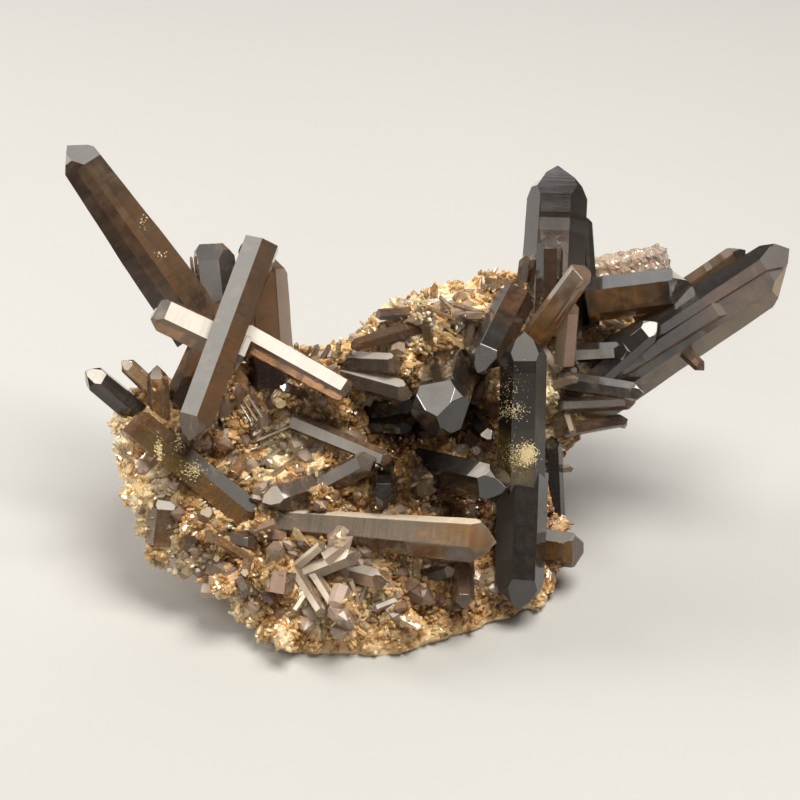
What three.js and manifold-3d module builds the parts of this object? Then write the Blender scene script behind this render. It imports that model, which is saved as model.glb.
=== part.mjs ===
// Morion quartz cluster: smoky to nearly black quartz crystals standing on and crossing over a lumpy
// honey-coloured druse matrix. Millimetres, +Z up, origin in the middle of the flat foot.
//
// The crystals are laid out in the frame of the display face, which leans back from the foot:
// u runs to the right, v up the face and w straight out of it.
import * as THREE from "three";
import { ConvexGeometry } from "three/addons/geometries/ConvexGeometry.js";
import { mergeVertices } from "three/addons/utils/BufferGeometryUtils.js";
import Module from "manifold-3d";

const wasm = await Module();
wasm.setup();

const DEG = Math.PI / 180;

// Driving dimensions, in millimetres and degrees.
const FACE_ELEVATION = 35 * DEG; // how far above the horizon the display face looks
const FOOT_LEVEL = -52; // height of the flat foot below the middle of the display face
const CLEARANCE = 0.3; // air between a crystal and its socket in the matrix
const WELD = 1e-3; // vertices closer than this are one
const GROUND_SIZE = 400; // side of the block that the foot is cut by
const CAP_SLOPE = 51.8 * DEG; // angle of quartz's end faces to a plane across the crystal
const MINOR_STEP = 0.22; // how far the three small end faces stand out, as a share of the half width
const TAPER = 0.7 * DEG; // prism faces lean in towards the tip
const TERRACE_SLOPE = 0.5; // lean of a growth terrace's sides
const TERRACE_ROOT = 2.5; // how deep a terrace reaches into its crystal
const UNEVENNESS = 0.1; // how much a crystal's prism faces differ in their distance from the axis
const CAP_UNEVENNESS = 0.12; // the same for its end faces
const BLUNT_LEAN = 0.25; // how far a blunt end may lean

// The matrix.
const RIM_SECTORS = 72;
const FRONT_RINGS = 11;
const BACK_RINGS = 6;
const MIDDLE = new THREE.Vector2(-14, -17); // centre of the matrix in the display face
const RIM_DEPTH = -8; // w of the rim at v = 0
const RIM_LEAN = -0.25; // change of the rim's w for each millimetre of v
const RIM_RIGHT_LEAN = -0.3; // and for each millimetre of u right of the middle
const DOME_HEIGHT = 2; // how far the face bulges out from the rim
const BACK_WALL = 34; // distance of the upright back wall behind the middle of the display face
const THINNEST = 9; // least depth of rock behind the rim
const ROCK_GRAIN = 1.1; // height of the small lumps
const BACK_GRAIN = 1.6; // how much higher they are on the back
const BACK_PHASE = 1.7; // shifts the lumps of the back against those of the face
const FRONT_FLATNESS = 4; // powers that keep the face, its relief and the back full until close to the rim
const RELIEF_FLATNESS = 6;
const BACK_FLATNESS = 3;
const BACK_CROWDING = 0.7; // brings the rings of the back closer to the middle
const RING_DISORDER = 0.5; // how far points move along their ring, as a share of their spacing
const DEPTH_DISORDER = 0.4; // and towards the next ring

// Outline of the matrix in the display face, as u, v, anticlockwise from the left.
const RIM = [
  [-81, -11], [-79, -19], [-75.5, -26], [-72, -35], [-68, -44], [-57.5, -48], [-48, -54],
  [-42, -61.5], [-32, -68.5], [-22.5, -70.5], [-14, -70], [-6, -72], [0, -70], [14, -66],
  [28, -61.5], [40.5, -57], [44, -50.5], [47.5, -41.5], [46, -31], [45.5, -19.5], [48.5, -11],
  [56, -8], [64, 1.5], [68, 15], [69, 28], [63, 37], [50, 38], [36, 38], [27, 36.6], [19.5, 34],
  [5.5, 30], [-6, 25], [-12, 19.5], [-17, 15], [-29.5, 14], [-42, 13.5], [-54.5, 12], [-67, 4.5],
  [-75, 2], [-80.5, -0.5],
];

// Swells and hollows of the face: u, v, radius along u, radius along v, height.
const RELIEF = [
  [9, -7, 24, 9, -22], // the dark cleft under the pointing crystal
  [20, -29, 14, 9, -12], // its lower branch
  [-31, -11, 15, 11, -7], // the granular hollow
  [-53, -12, 8, 8, -6],
  [56, 20, 9, 8, -9], // behind the small white blades
  [44, 3, 6, 13, 9], // beside the upright crystal
  [-70, -20, 12, 12, 4],
  [-67, -28, 6, 5, 4],
  [-20, -58, 20, 13, 6],
  [11, 22, 16, 9, 5],
  [-56, -37, 10, 8, 4],
  [22, -56, 12, 6, 3],
  [-38, -47, 9, 7, 3],
];

// Small crystals fused to the face, and a few on the back.
const DRUSE_COUNT = 46;
const BACK_DRUSE_COUNT = 9;
const DRUSE_WIDTH = [2.8, 5.2];
const DRUSE_LENGTH = [4.5, 9.5];
const DRUSE_REACH = 0.93; // share of the way to the rim that the small crystals cover
const DRUSE_DISORDER = 1.8; // how much they lean to random sides
const DRUSE_SPLAY = [0.0057, 0.008]; // how much they lean away from the middle along u and v
const DRUSE_UPRIGHT = 0.75; // how much they point out of the surface
const GOLDEN_ANGLE = Math.PI * (3 - Math.sqrt(5));

const FINISH = {
  crust: { color: 0xb98a5a, roughness: 0.75, metalness: 0 },
  morion: { color: 0x3a332e, roughness: 0.22, metalness: 0 },
  smoky: { color: 0x7a5c42, roughness: 0.2, metalness: 0 },
  honey: { color: 0xc99a62, roughness: 0.3, metalness: 0 },
  pale: { color: 0xd9cdbb, roughness: 0.3, metalness: 0 },
};

// A repeatable scatter between 0 and 1 for an index and a channel.
function scatter(index, channel) {
  const wave = Math.sin(index * 12.9898 + channel * 78.233) * 43758.5453;
  return wave - Math.floor(wave);
}

function between([low, high], share) {
  return low + (high - low) * share;
}

// A closed geometry as a manifold-3d solid.
function solidOf(geometry) {
  const bare = geometry.clone();
  bare.deleteAttribute("normal");
  bare.deleteAttribute("uv");
  const welded = mergeVertices(bare, WELD);
  return new wasm.Manifold(
    new wasm.Mesh({
      numProp: 3,
      vertProperties: welded.attributes.position.array,
      triVerts: new Uint32Array(welded.index.array),
    }),
  );
}

function geometryOf(solid) {
  const made = solid.getMesh();
  const geometry = new THREE.BufferGeometry();
  geometry.setAttribute("position", new THREE.BufferAttribute(made.vertProperties, 3));
  geometry.setIndex(new THREE.BufferAttribute(made.triVerts, 1));
  geometry.computeVertexNormals();
  return geometry;
}

// The convex solid inside a set of planes, each a THREE.Plane whose normal points out of it.
function insidePlanes(planes) {
  const corners = [];
  const meet = new THREE.Matrix3();
  planes.forEach((a, i) => {
    planes.slice(i + 1).forEach((b, j) => {
      planes.slice(i + j + 2).forEach((c) => {
        meet.set(...a.normal.toArray(), ...b.normal.toArray(), ...c.normal.toArray());
        if (Math.abs(meet.determinant()) < 1e-6) return;
        const corner = new THREE.Vector3(-a.constant, -b.constant, -c.constant);
        corner.applyMatrix3(meet.clone().invert());
        const outside = planes.some((plane) => plane.distanceToPoint(corner) > 1e-6);
        const known = corners.some((other) => other.distanceTo(corner) < 20 * WELD);
        if (!outside && !known) corners.push(corner);
      });
    });
  });
  return solidOf(new ConvexGeometry(corners));
}

// A plane with this outward normal through this point, moved out by a distance.
function facing(normal, point, out = 0) {
  const unit = normal.clone().normalize();
  return new THREE.Plane(unit, -unit.dot(point) - out);
}

// The direction from turned by an angle towards another at right angles to it.
function turned(from, towards, angle) {
  return from.clone().multiplyScalar(Math.cos(angle)).addScaledVector(towards, Math.sin(angle));
}

// The axes of a crystal: along it, out towards the viewer, and sideways.
function axesOf({ root, tip }) {
  const start = new THREE.Vector3(...root);
  const end = new THREE.Vector3(...tip);
  const along = end.clone().sub(start).normalize();
  const out = new THREE.Vector3(0, 0, 1).addScaledVector(along, -along.z).normalize();
  const side = along.clone().cross(out);
  return { start, end, along, out, side };
}

// A quartz crystal: six prism faces round an axis and six end faces, three large and three small.
// roll turns the face that looks at the viewer, flat squeezes the crystal front to back,
// blunt cuts the point off across the axis, apexShift moves it sideways in millimetres and twin
// gives the root a point as well. A plain crystal has only the three large end faces.
function crystalPlanes(spec, grow) {
  const { width, roll, flat = 1, blunt = 0, apexShift = 0, taper = TAPER, seed } = spec;
  const { twin = false, plain = false } = spec;
  const { start, end, along, out, side } = axesOf(spec);
  const half = width / 2;
  const capHeight = half * Math.tan(CAP_SLOPE);
  const shoulder = end.clone().addScaledVector(along, -capHeight);
  const apex = end.clone().addScaledVector(side, apexShift);
  const planes = [];
  for (let k = 0; k < 6; k += 1) {
    const turn = roll * DEG + (k * Math.PI) / 3;
    const away = turned(out, side, turn);
    const uneven = 1 + UNEVENNESS * (scatter(seed, k) - 0.5);
    const squeeze = 1 - (1 - flat) * Math.abs(Math.cos(turn));
    const reach = half * uneven * squeeze;
    const leaning = turned(away, along, taper);
    planes.push(facing(leaning, shoulder.clone().addScaledVector(away, reach), grow));
    const minor = k % 2 === 0 ? 0 : MINOR_STEP * half;
    const stepOut = minor + CAP_UNEVENNESS * half * scatter(seed, k + 6);
    const upwards = turned(along, away, CAP_SLOPE);
    const downwards = turned(along.clone().negate(), away, CAP_SLOPE);
    if (!plain || k % 2 === 0) planes.push(facing(upwards, apex, stepOut + grow));
    if (twin) planes.push(facing(downwards, start, stepOut + grow));
  }
  if (!twin) planes.push(facing(along.clone().negate(), start, grow));
  if (blunt > 0) {
    const lean = along.clone().addScaledVector(side, BLUNT_LEAN * (scatter(seed, 20) - 0.5));
    planes.push(facing(lean, end.clone().addScaledVector(along, -blunt * capHeight), grow));
  }
  return planes;
}

function crystalSolid(spec, grow = 0) {
  return insidePlanes(crystalPlanes(spec, grow));
}

// A growth terrace: a low slab on one prism face of a crystal, from and to as shares of its length,
// low and high as its sides in millimetres across the face, rise as its height above the face.
function terraceSolid(spec, { face = 0, from, to, low, high, rise }, grow = 0) {
  const { width, roll, taper = TAPER } = spec;
  const { start, end, along, out, side } = axesOf(spec);
  const half = width / 2;
  const shoulder = end.clone().addScaledVector(along, -half * Math.tan(CAP_SLOPE));
  const turn = roll * DEG + (face * Math.PI) / 3;
  const away = turned(out, side, turn);
  const across = along.clone().cross(away);
  const leaning = turned(away, along, taper);
  const onFace = (share, height) => {
    const axisPoint = start.clone().lerp(end, share);
    const widening = shoulder.distanceTo(axisPoint) * Math.tan(taper);
    return axisPoint.addScaledVector(away, half + widening + height);
  };
  const near = onFace(from, 0);
  const endSlope = turned(along, away, CAP_SLOPE);
  const highSlope = across.clone().addScaledVector(away, TERRACE_SLOPE);
  const lowSlope = across.clone().negate().addScaledVector(away, TERRACE_SLOPE);
  return insidePlanes([
    facing(leaning, onFace(from, rise), grow),
    facing(leaning.clone().negate(), onFace(from, -TERRACE_ROOT), grow),
    facing(endSlope, onFace(to, rise), grow),
    facing(along.clone().negate().addScaledVector(away, TERRACE_SLOPE), near, grow),
    facing(highSlope, near.clone().addScaledVector(across, high), grow),
    facing(lowSlope, near.clone().addScaledVector(across, low), grow),
  ]);
}

function quartz(root, tip, width, roll, extra = {}) {
  return { root, tip, width, roll, seed: root[0] * 3 + tip[1], ...extra };
}

// Every crystal, or group of crystals that have grown through each other.
const CRYSTALS = [
  {
    name: "crossed_crystals_left",
    finish: "smoky",
    crystals: [
      quartz([-57, 20, -12], [-93.4, 71.8, -4], 11.4, 34, { taper: 2.6 * DEG }),
      quartz([-43.5, 13.1, 3.8], [-69.5, 25.5, 10], 9.2, 24, { blunt: 0.4 }),
      quartz([-50.5, 22, -2], [-12.5, 1, 4], 6.2, -26, { blunt: 0.5 }),
      quartz([-38.2, 43.5, 6], [-57, -10.5, 16], 9.8, 30, { taper: 0 }),
      quartz([-50.5, 14, -14], [-53.8, 47, -10], 10.4, -13, { blunt: 0.35 }),
      quartz([-37, 4, -12], [-39.5, 46, -8], 11.6, 5, { apexShift: -3 }),
      quartz([-63.5, -2, -11], [-49, 28.5, -6], 7.8, 10),
    ],
  },
  {
    name: "crystal_left_edge",
    finish: "morion",
    crystals: [quartz([-75, -3.5, -8], [-87.5, 8, 2], 6.8, 30)],
  },
  {
    name: "crystals_left_small",
    finish: "honey",
    crystals: [
      quartz([-70, 3, -6], [-77.5, 11, 2], 4.2, 10),
      quartz([-68, -6, -5], [-68, 9.5, 0], 5.4, 0),
    ],
  },
  {
    name: "crystal_lower_left",
    finish: "honey",
    crystals: [quartz([-39.5, -35.5, 0], [-77, -3.5, 5], 8.6, -12, { twin: true, blunt: 0.6 })],
  },
  {
    name: "crystal_front_long",
    finish: "pale",
    crystals: [quartz([-33.6, -34.6, 0], [26, -38.5, 17], 10.4, -16, { taper: -1.4 * DEG })],
  },
  {
    name: "crystal_front_upper",
    finish: "morion",
    crystals: [quartz([5, -19.5, -20], [28.5, -23.5, 16], 9.8, 20)],
  },
  {
    name: "crystal_pointing_out",
    finish: "morion",
    crystals: [quartz([15.5, 11, -26], [10, -4, 30], 13.8, 32)],
  },
  {
    name: "crystal_centre_grey",
    finish: "morion",
    crystals: [quartz([33.2, 29.2, -13], [21.7, 8, 6], 9.4, 8)],
  },
  {
    name: "crystal_centre_slanting",
    finish: "honey",
    crystals: [quartz([36.5, 15.5, -8], [51, 37, 14], 6.4, -15, { blunt: 0.7 })],
  },
  {
    name: "crystals_upright_dark",
    finish: "morion",
    crystals: [
      quartz([34, -28, -6], [34, 18, 11], 11.2, 0),
      quartz([35, -20, -6], [33, -58, 5], 12, -5),
    ],
  },
  {
    name: "crystal_nub_dark",
    finish: "morion",
    crystals: [quartz([-4.5, -18, -16], [-4.5, -27.5, 12], 7, 0)],
  },
  {
    name: "crystals_middle_left",
    finish: "smoky",
    crystals: [
      quartz([-17.5, -22, -8], [-37.5, -28, 8.5], 6.8, 20),
      quartz([-25, -26, -5], [-7, -16, 7], 6.2, -20),
      quartz([-30, -6, -8], [-2.5, -17, 5], 5, 12, { flat: 0.7 }),
    ],
  },
  {
    name: "crystals_upper_left",
    finish: "smoky",
    crystals: [
      quartz([-24, 11, -12], [0.5, 10, 0], 5.6, 10),
      quartz([-22, 8.5, -11], [3.5, 1.5, 0], 5.8, 14),
    ],
  },
  {
    name: "crystals_in_cleft",
    finish: "morion",
    crystals: [
      quartz([-18, -5, -24], [4, -1, -6], 5.8, 0),
      quartz([-19, -7, -24], [3.5, -8, -8], 4.6, 12),
    ],
  },
  {
    name: "crystal_cleft_right",
    finish: "morion",
    crystals: [quartz([19, -2, -26], [25.5, -11, -1], 4.4, 6)],
  },
  {
    name: "crystal_below_dark",
    finish: "smoky",
    crystals: [quartz([17.5, -42, 0], [17.5, -57, 14], 5.2, 0)],
  },
  {
    name: "crystals_top_right",
    finish: "morion",
    crystals: [
      quartz([43.7, 18, -24], [46.7, 68.5, -26], 15.4, -10),
      quartz([43, 22, -17], [43, 47.5, -15], 6.4, 0),
      quartz([56.5, 22, -29.5], [54.5, 54, -29], 4.6, 20),
    ],
  },
  {
    name: "crystal_back_cream",
    finish: "pale",
    crystals: [quartz([57, 37.5, -36], [83, 43, -36], 8, 10, { blunt: 0.6 })],
  },
  {
    name: "crystals_right",
    finish: "morion",
    crystals: [
      quartz([52, 0.5, -25], [111, 39.8, -4], 14.4, -5, {
        apexShift: -3,
        taper: 1.7 * DEG,
        terraces: [
          { face: 0, from: 0.3, to: 0.9, low: -4.5, high: -1.5, rise: 0.8 },
          { face: 0, from: 0.1, to: 0.66, low: -1.5, high: 2.5, rise: 1.3 },
        ],
      }),
      quartz([70, 22, -24], [99.5, 43.2, -16], 6.2, 10),
      quartz([50, 1, -16], [72.5, 21.5, -4], 6.4, -10),
      quartz([80, 15, -10], [86, 8.5, -6], 3.2, 0),
      quartz([54.8, 29, -20.5], [84, 32.5, -14], 10.8, 10),
      quartz([51, 13.5, -12], [64, 14, -5], 4.6, 14),
    ],
  },
  {
    name: "crystal_right_low",
    finish: "pale",
    crystals: [quartz([46, 5.5, -10], [67.5, 2, 4.5], 4.8, 20)],
  },
  {
    name: "crystal_pink",
    finish: "honey",
    crystals: [quartz([46.9, 10.5, -9.4], [47.7, 28, -2], 5.4, 20)],
  },
  {
    name: "spike_right_upper",
    finish: "smoky",
    crystals: [quartz([46, -1.5, -11], [66.5, -0.5, -5], 3.8, 0)],
  },
  {
    name: "spike_right_lower",
    finish: "smoky",
    crystals: [quartz([45, -9, -14], [64.5, -5.5, -6], 3.4, 10)],
  },
  {
    name: "crystal_low_right",
    finish: "smoky",
    crystals: [quartz([38, -41.5, -14], [53, -43, -4], 9, 10, { blunt: 0.6 })],
  },
  {
    name: "crystal_behind_upright",
    finish: "morion",
    crystals: [quartz([44.5, -34, -16], [43.5, -10.5, -14], 5.2, 0)],
  },
  {
    name: "block_pale",
    finish: "pale",
    crystals: [quartz([-34.5, -52, 4], [-34, -38.5, 14], 4.4, 0, { blunt: 0.6 })],
  },
  {
    name: "blades_low_white",
    finish: "pale",
    crystals: [
      quartz([-29.5, -47, 6], [-20.5, -39, 14], 2.6, 10),
      quartz([-28, -49, 6], [-11, -41.5, 16], 4.8, 20),
      quartz([-29, -47, 8], [-20.5, -58.5, 18], 3, 10),
      quartz([-25, -46, 8], [-17.5, -56, 18], 2.8, 10),
    ],
  },
  {
    name: "crystal_low_pink",
    finish: "honey",
    crystals: [quartz([-15, -47.5, 4], [-3.5, -49, 18], 5.2, 20)],
  },
  {
    name: "needle_low",
    finish: "pale",
    crystals: [quartz([4, -53.5, 4], [-8, -57, 15], 2.4, 10)],
  },
];

// Depth of the rim's own surface below a point of the display face.
function rimLevel(u, v) {
  return RIM_DEPTH + RIM_LEAN * v + RIM_RIGHT_LEAN * Math.max(0, u);
}

// Small rounded lumps of the rock.
function grain(u, v, shift) {
  const coarse = Math.sin(0.31 * u + 0.17 * v + shift) * Math.sin(0.27 * v - 0.12 * u + 2 * shift);
  const fine = Math.sin(0.83 * u - 0.41 * v + 3 * shift) * Math.sin(0.71 * v + 0.52 * u + shift);
  return ROCK_GRAIN * (1.4 * coarse + fine);
}

function relief(u, v) {
  return RELIEF.reduce((sum, [cu, cv, ru, rv, height]) => {
    const far = ((u - cu) / ru) ** 2 + ((v - cv) / rv) ** 2;
    return sum + height * Math.exp(-far);
  }, 0);
}

// w of the front and back of the rock; share is 0 in the middle and 1 at the rim.
function frontLevel(u, v, share) {
  const dome = DOME_HEIGHT * Math.sqrt(Math.max(0, 1 - share ** FRONT_FLATNESS));
  const fade = 1 - share ** RELIEF_FLATNESS;
  return rimLevel(u, v) + dome + fade * (relief(u, v) + grain(u, v, 0));
}

function backLevel(u, v, share) {
  const wall = (v * Math.sin(FACE_ELEVATION) - BACK_WALL) / Math.cos(FACE_ELEVATION);
  const depth = Math.max(THINNEST, rimLevel(u, v) - wall);
  const roundness = Math.sqrt(Math.max(0, 1 - share ** BACK_FLATNESS));
  const lumps = BACK_GRAIN * (1 - share ** FRONT_FLATNESS) * grain(u, v, BACK_PHASE);
  return rimLevel(u, v) - depth * roundness + lumps;
}

// The rim as a smooth closed curve, sampled evenly.
const RIM_POINTS = new THREE.CatmullRomCurve3(
  RIM.map(([u, v]) => new THREE.Vector3(u, v, 0)), true, "centripetal",
).getSpacedPoints(RIM_SECTORS).slice(0, RIM_SECTORS);

function rimPoint(turns) {
  const place = (((turns % 1) + 1) % 1) * RIM_SECTORS;
  const before = Math.floor(place) % RIM_SECTORS;
  return RIM_POINTS[before].clone().lerp(RIM_POINTS[(before + 1) % RIM_SECTORS], place % 1);
}

// A point of the rock at a turn round the rim and a share of the way out to it.
function rockPoint(turns, share, level) {
  const rim = rimPoint(turns);
  const u = MIDDLE.x + (rim.x - MIDDLE.x) * share;
  const v = MIDDLE.y + (rim.y - MIDDLE.y) * share;
  return new THREE.Vector3(u, v, level(u, v, share));
}

// The rings of the rock from the middle of the face out to the rim and round to the middle of the back.
function rockRings() {
  const rings = [];
  for (let ring = 1; ring <= FRONT_RINGS; ring += 1) {
    rings.push({ share: ring / FRONT_RINGS, level: frontLevel });
  }
  for (let ring = BACK_RINGS - 1; ring >= 1; ring -= 1) {
    rings.push({ share: (ring / BACK_RINGS) ** BACK_CROWDING, level: backLevel });
  }
  return rings;
}

// Evenly spaced points on one ring, shifted a little so that no grid shows. The rim itself isn't shifted.
function ringPoints({ share, level }, ring) {
  const count = Math.max(6, Math.round(RIM_SECTORS * share));
  const free = share < 1 ? 1 : 0;
  return Array.from({ length: count }, (_, k) => {
    const number = 97 * ring + k;
    const along = free * RING_DISORDER * (scatter(number, 1) - 0.5);
    const across = free * DEPTH_DISORDER * (scatter(number, 2) - 0.5);
    const turns = (k + 0.5 * (ring % 2) + along) / count;
    const out = share + across / FRONT_RINGS;
    return { turns, point: rockPoint(turns, out, level) };
  });
}

// Triangles between two rings of different counts, taking the nearer next point each time.
function zipRings(inner, outer, innerStart, outerStart, index) {
  let i = 0;
  let o = 0;
  const turnsOf = (ring, k) => ring[k % ring.length].turns + Math.floor(k / ring.length);
  while (i < inner.length || o < outer.length) {
    const a = innerStart + (i % inner.length);
    const b = outerStart + (o % outer.length);
    const stepOuter = o < outer.length
      && (i >= inner.length || turnsOf(outer, o + 1) <= turnsOf(inner, i + 1));
    if (stepOuter) {
      o += 1;
      index.push(a, b, outerStart + (o % outer.length));
    } else {
      i += 1;
      index.push(a, b, innerStart + (i % inner.length));
    }
  }
}

// The lumpy body of the rock as one closed surface.
function rockBody() {
  const rings = rockRings().map(ringPoints);
  const points = [rockPoint(0, 0, frontLevel)];
  const starts = rings.map((ring) => {
    const start = points.length;
    ring.forEach(({ point }) => points.push(point));
    return start;
  });
  const last = points.length;
  points.push(rockPoint(0, 0, backLevel));
  const index = [];
  rings.forEach((ring, k) => {
    const next = rings[k + 1];
    const here = starts[k];
    const following = (p) => here + ((p + 1) % ring.length);
    if (k === 0) ring.forEach((_, p) => index.push(0, here + p, following(p)));
    if (next) zipRings(ring, next, here, starts[k + 1], index);
    else ring.forEach((_, p) => index.push(following(p), here + p, last));
  });
  const geometry = new THREE.BufferGeometry().setFromPoints(points);
  geometry.setIndex(index);
  return solidOf(geometry);
}

// Small crystals over one side of the rock, leaning outwards, as specs like the large ones.
// outward is 1 on the face and -1 on the back.
function druseCrystals(count, level, outward) {
  const specs = [];
  for (let i = 0; i < count; i += 1) {
    const share = Math.sqrt((i + 0.5) / count) * DRUSE_REACH;
    const turns = (i * GOLDEN_ANGLE) / (2 * Math.PI);
    const foot = rockPoint(turns, share, level);
    const lean = new THREE.Vector3(
      DRUSE_DISORDER * (scatter(i, 3) - 0.5) + DRUSE_SPLAY[0] * (foot.x - MIDDLE.x),
      DRUSE_DISORDER * (scatter(i, 4) - 0.5) + DRUSE_SPLAY[1] * (foot.y - MIDDLE.y),
      DRUSE_UPRIGHT * outward,
    ).normalize();
    const width = between(DRUSE_WIDTH, scatter(i, 5));
    const length = between(DRUSE_LENGTH, scatter(i, 6));
    const root = foot.clone().addScaledVector(lean, -width);
    const tip = foot.clone().addScaledVector(lean, length);
    const roll = 60 * scatter(i, 7);
    specs.push(quartz(root.toArray(), tip.toArray(), width, roll, { seed: i, plain: true }));
  }
  return specs;
}

// The ground that the foot is cut by, as a slab in the display frame.
function belowFoot() {
  const slab = new THREE.BoxGeometry(GROUND_SIZE, GROUND_SIZE, GROUND_SIZE);
  slab.translate(0, 0, FOOT_LEVEL - GROUND_SIZE / 2);
  slab.rotateX(FACE_ELEVATION - Math.PI / 2);
  return solidOf(slab);
}

// All solids of one crystal: its body and its terraces.
function piecesOf(spec, grow) {
  const terraces = (spec.terraces ?? []).map((terrace) => terraceSolid(spec, terrace, grow));
  return [crystalSolid(spec, grow), ...terraces];
}

function joined(solids) {
  return solids.reduce((whole, next) => whole.add(next));
}

// The largest body of a solid, without crumbs that a cut left loose.
function largestBody(solid) {
  return solid.decompose().reduce((best, body) => (body.volume() > best.volume() ? body : best));
}

function matrixSolid() {
  const druse = [
    ...druseCrystals(DRUSE_COUNT, frontLevel, 1),
    ...druseCrystals(BACK_DRUSE_COUNT, backLevel, -1),
  ];
  const crust = joined([rockBody(), ...druse.map((spec) => crystalSolid(spec))]);
  const specs = CRYSTALS.flatMap(({ crystals }) => crystals);
  const sockets = specs.flatMap((spec) => piecesOf(spec, CLEARANCE));
  const opened = sockets.reduce((rest, socket) => rest.subtract(socket), crust);
  return largestBody(opened.subtract(belowFoot()));
}

function namedMesh(name, solid, finish) {
  const mesh = new THREE.Mesh(geometryOf(solid), new THREE.MeshStandardMaterial(FINISH[finish]));
  mesh.name = name;
  return mesh;
}

function build() {
  const face = new THREE.Group();
  face.add(namedMesh("matrix", matrixSolid(), "crust"));
  CRYSTALS.forEach(({ name, finish, crystals }) => {
    const solid = joined(crystals.flatMap((spec) => piecesOf(spec, 0)));
    face.add(namedMesh(name, solid, finish));
  });
  face.rotation.x = Math.PI / 2 - FACE_ELEVATION;
  const cluster = new THREE.Group();
  cluster.add(face);
  const box = new THREE.Box3().setFromObject(cluster, true);
  const centre = box.getCenter(new THREE.Vector3());
  face.position.set(-centre.x, -centre.y, -FOOT_LEVEL);
  return cluster;
}

export default build();
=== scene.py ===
"""Looks of the morion quartz cluster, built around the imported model.

The crystals are dressed copies of the CAD crystals, the rock is a finer copy of the CAD matrix, and
thousands of small crystals grow on it. Lengths in the tables are millimetres in the frame of the display
face: u to the right, v up the face, w out of it.
"""

import math

import bmesh
import bpy
import numpy as np
from mathutils import Matrix, Vector, noise
from mathutils.bvhtree import BVHTree
from mathutils.kdtree import KDTree


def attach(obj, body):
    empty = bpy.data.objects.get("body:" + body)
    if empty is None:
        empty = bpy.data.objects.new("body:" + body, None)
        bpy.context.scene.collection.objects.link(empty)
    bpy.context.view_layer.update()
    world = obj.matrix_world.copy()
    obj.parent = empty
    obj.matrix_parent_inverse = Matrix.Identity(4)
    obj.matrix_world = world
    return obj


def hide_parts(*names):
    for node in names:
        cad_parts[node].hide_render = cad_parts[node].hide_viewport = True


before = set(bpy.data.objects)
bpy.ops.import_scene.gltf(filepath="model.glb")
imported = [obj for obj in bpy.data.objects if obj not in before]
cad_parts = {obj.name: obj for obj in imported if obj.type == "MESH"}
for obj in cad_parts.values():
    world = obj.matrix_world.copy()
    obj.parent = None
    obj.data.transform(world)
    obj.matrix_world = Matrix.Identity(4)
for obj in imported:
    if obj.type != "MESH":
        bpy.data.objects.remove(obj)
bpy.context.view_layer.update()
scene = bpy.context.scene

MM = 0.001
FACE_ELEVATION = math.radians(35)  # how far the display face leans back from upright
FACE_ORIGIN = np.array([-7.45, -5.58, 52.0])  # middle of the display face in the row frame, mm
U_AXIS = np.array([1.0, 0.0, 0.0])
V_AXIS = np.array([0.0, math.sin(FACE_ELEVATION), math.cos(FACE_ELEVATION)])
W_AXIS = np.array([0.0, -math.cos(FACE_ELEVATION), math.sin(FACE_ELEVATION)])
FACE_AXES = np.array([U_AXIS, V_AXIS, W_AXIS])
CAMERA_DISTANCE = 520.0  # mm from the middle of the display face
FRAME_HALF_WIDTH = 112.0  # mm of the display face from the middle of the picture to its edge
CAP_SLOPE = math.radians(51.8)  # angle of quartz's end faces to a plane across the crystal
CROWN = 0.66  # how far a crystal may reach from its axis, as a share of its width

# Every chance in this script comes from one seed. noise_vector would start from the clock without it.
SEED = 20261
random = np.random.default_rng(SEED)
noise.seed_set(SEED)


def to_row(points):
    """Points of the display face (u, v, w) as points of the row frame, in millimetres."""
    return FACE_ORIGIN + np.asarray(points, float) @ FACE_AXES


def to_face(points):
    """Points of the row frame, in millimetres, as u, v, w of the display face."""
    return (np.asarray(points, float) - FACE_ORIGIN) @ FACE_AXES.T


def unit(rows):
    """Vectors scaled to length 1."""
    return rows / np.linalg.norm(rows, axis=1, keepdims=True)


def new_mesh(name, verts, faces):
    """A mesh from places in metres."""
    mesh = bpy.data.meshes.new(name)
    mesh.from_pydata(verts, [], faces)
    mesh.update()
    return mesh


def put(name, data):
    """A new object in the scene."""
    made = bpy.data.objects.new(name, data)
    scene.collection.objects.link(made)
    return made


# ---- materials

# Tints for faces: dust, painted sheen and painted shade on them, and painted glow of light through them.
WHITE = (0.63, 0.575, 0.51)
IVORY = (0.66, 0.55, 0.42)
PALE = (0.40, 0.37, 0.335)
GREY = (0.20, 0.19, 0.178)
DARK = (0.045, 0.036, 0.030)
CREAM = (0.40, 0.31, 0.215)
AMBER = (0.80, 0.42, 0.13)
BROWN = (0.33, 0.17, 0.085)
PINK = (0.36, 0.23, 0.17)
GOLD = (0.85, 0.60, 0.20)
UMBER = (0.15, 0.102, 0.072)
ASH = (0.135, 0.127, 0.118)
SLATE = (0.085, 0.08, 0.076)
OLIVE = (0.70, 0.52, 0.15)
# Painted glow of light passing through a crystal.
PAINTED_GLOW = (0.88, 0.58, 0.31)
ROSE = (0.50, 0.33, 0.25)
MIST = (0.46, 0.40, 0.34)
BLACK = (0.0, 0.0, 0.0)

QUARTZ_IOR = 1.545
LINE_STRETCH = 0.05  # how fast a growth line's pattern changes across the crystal, against along it


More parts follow.
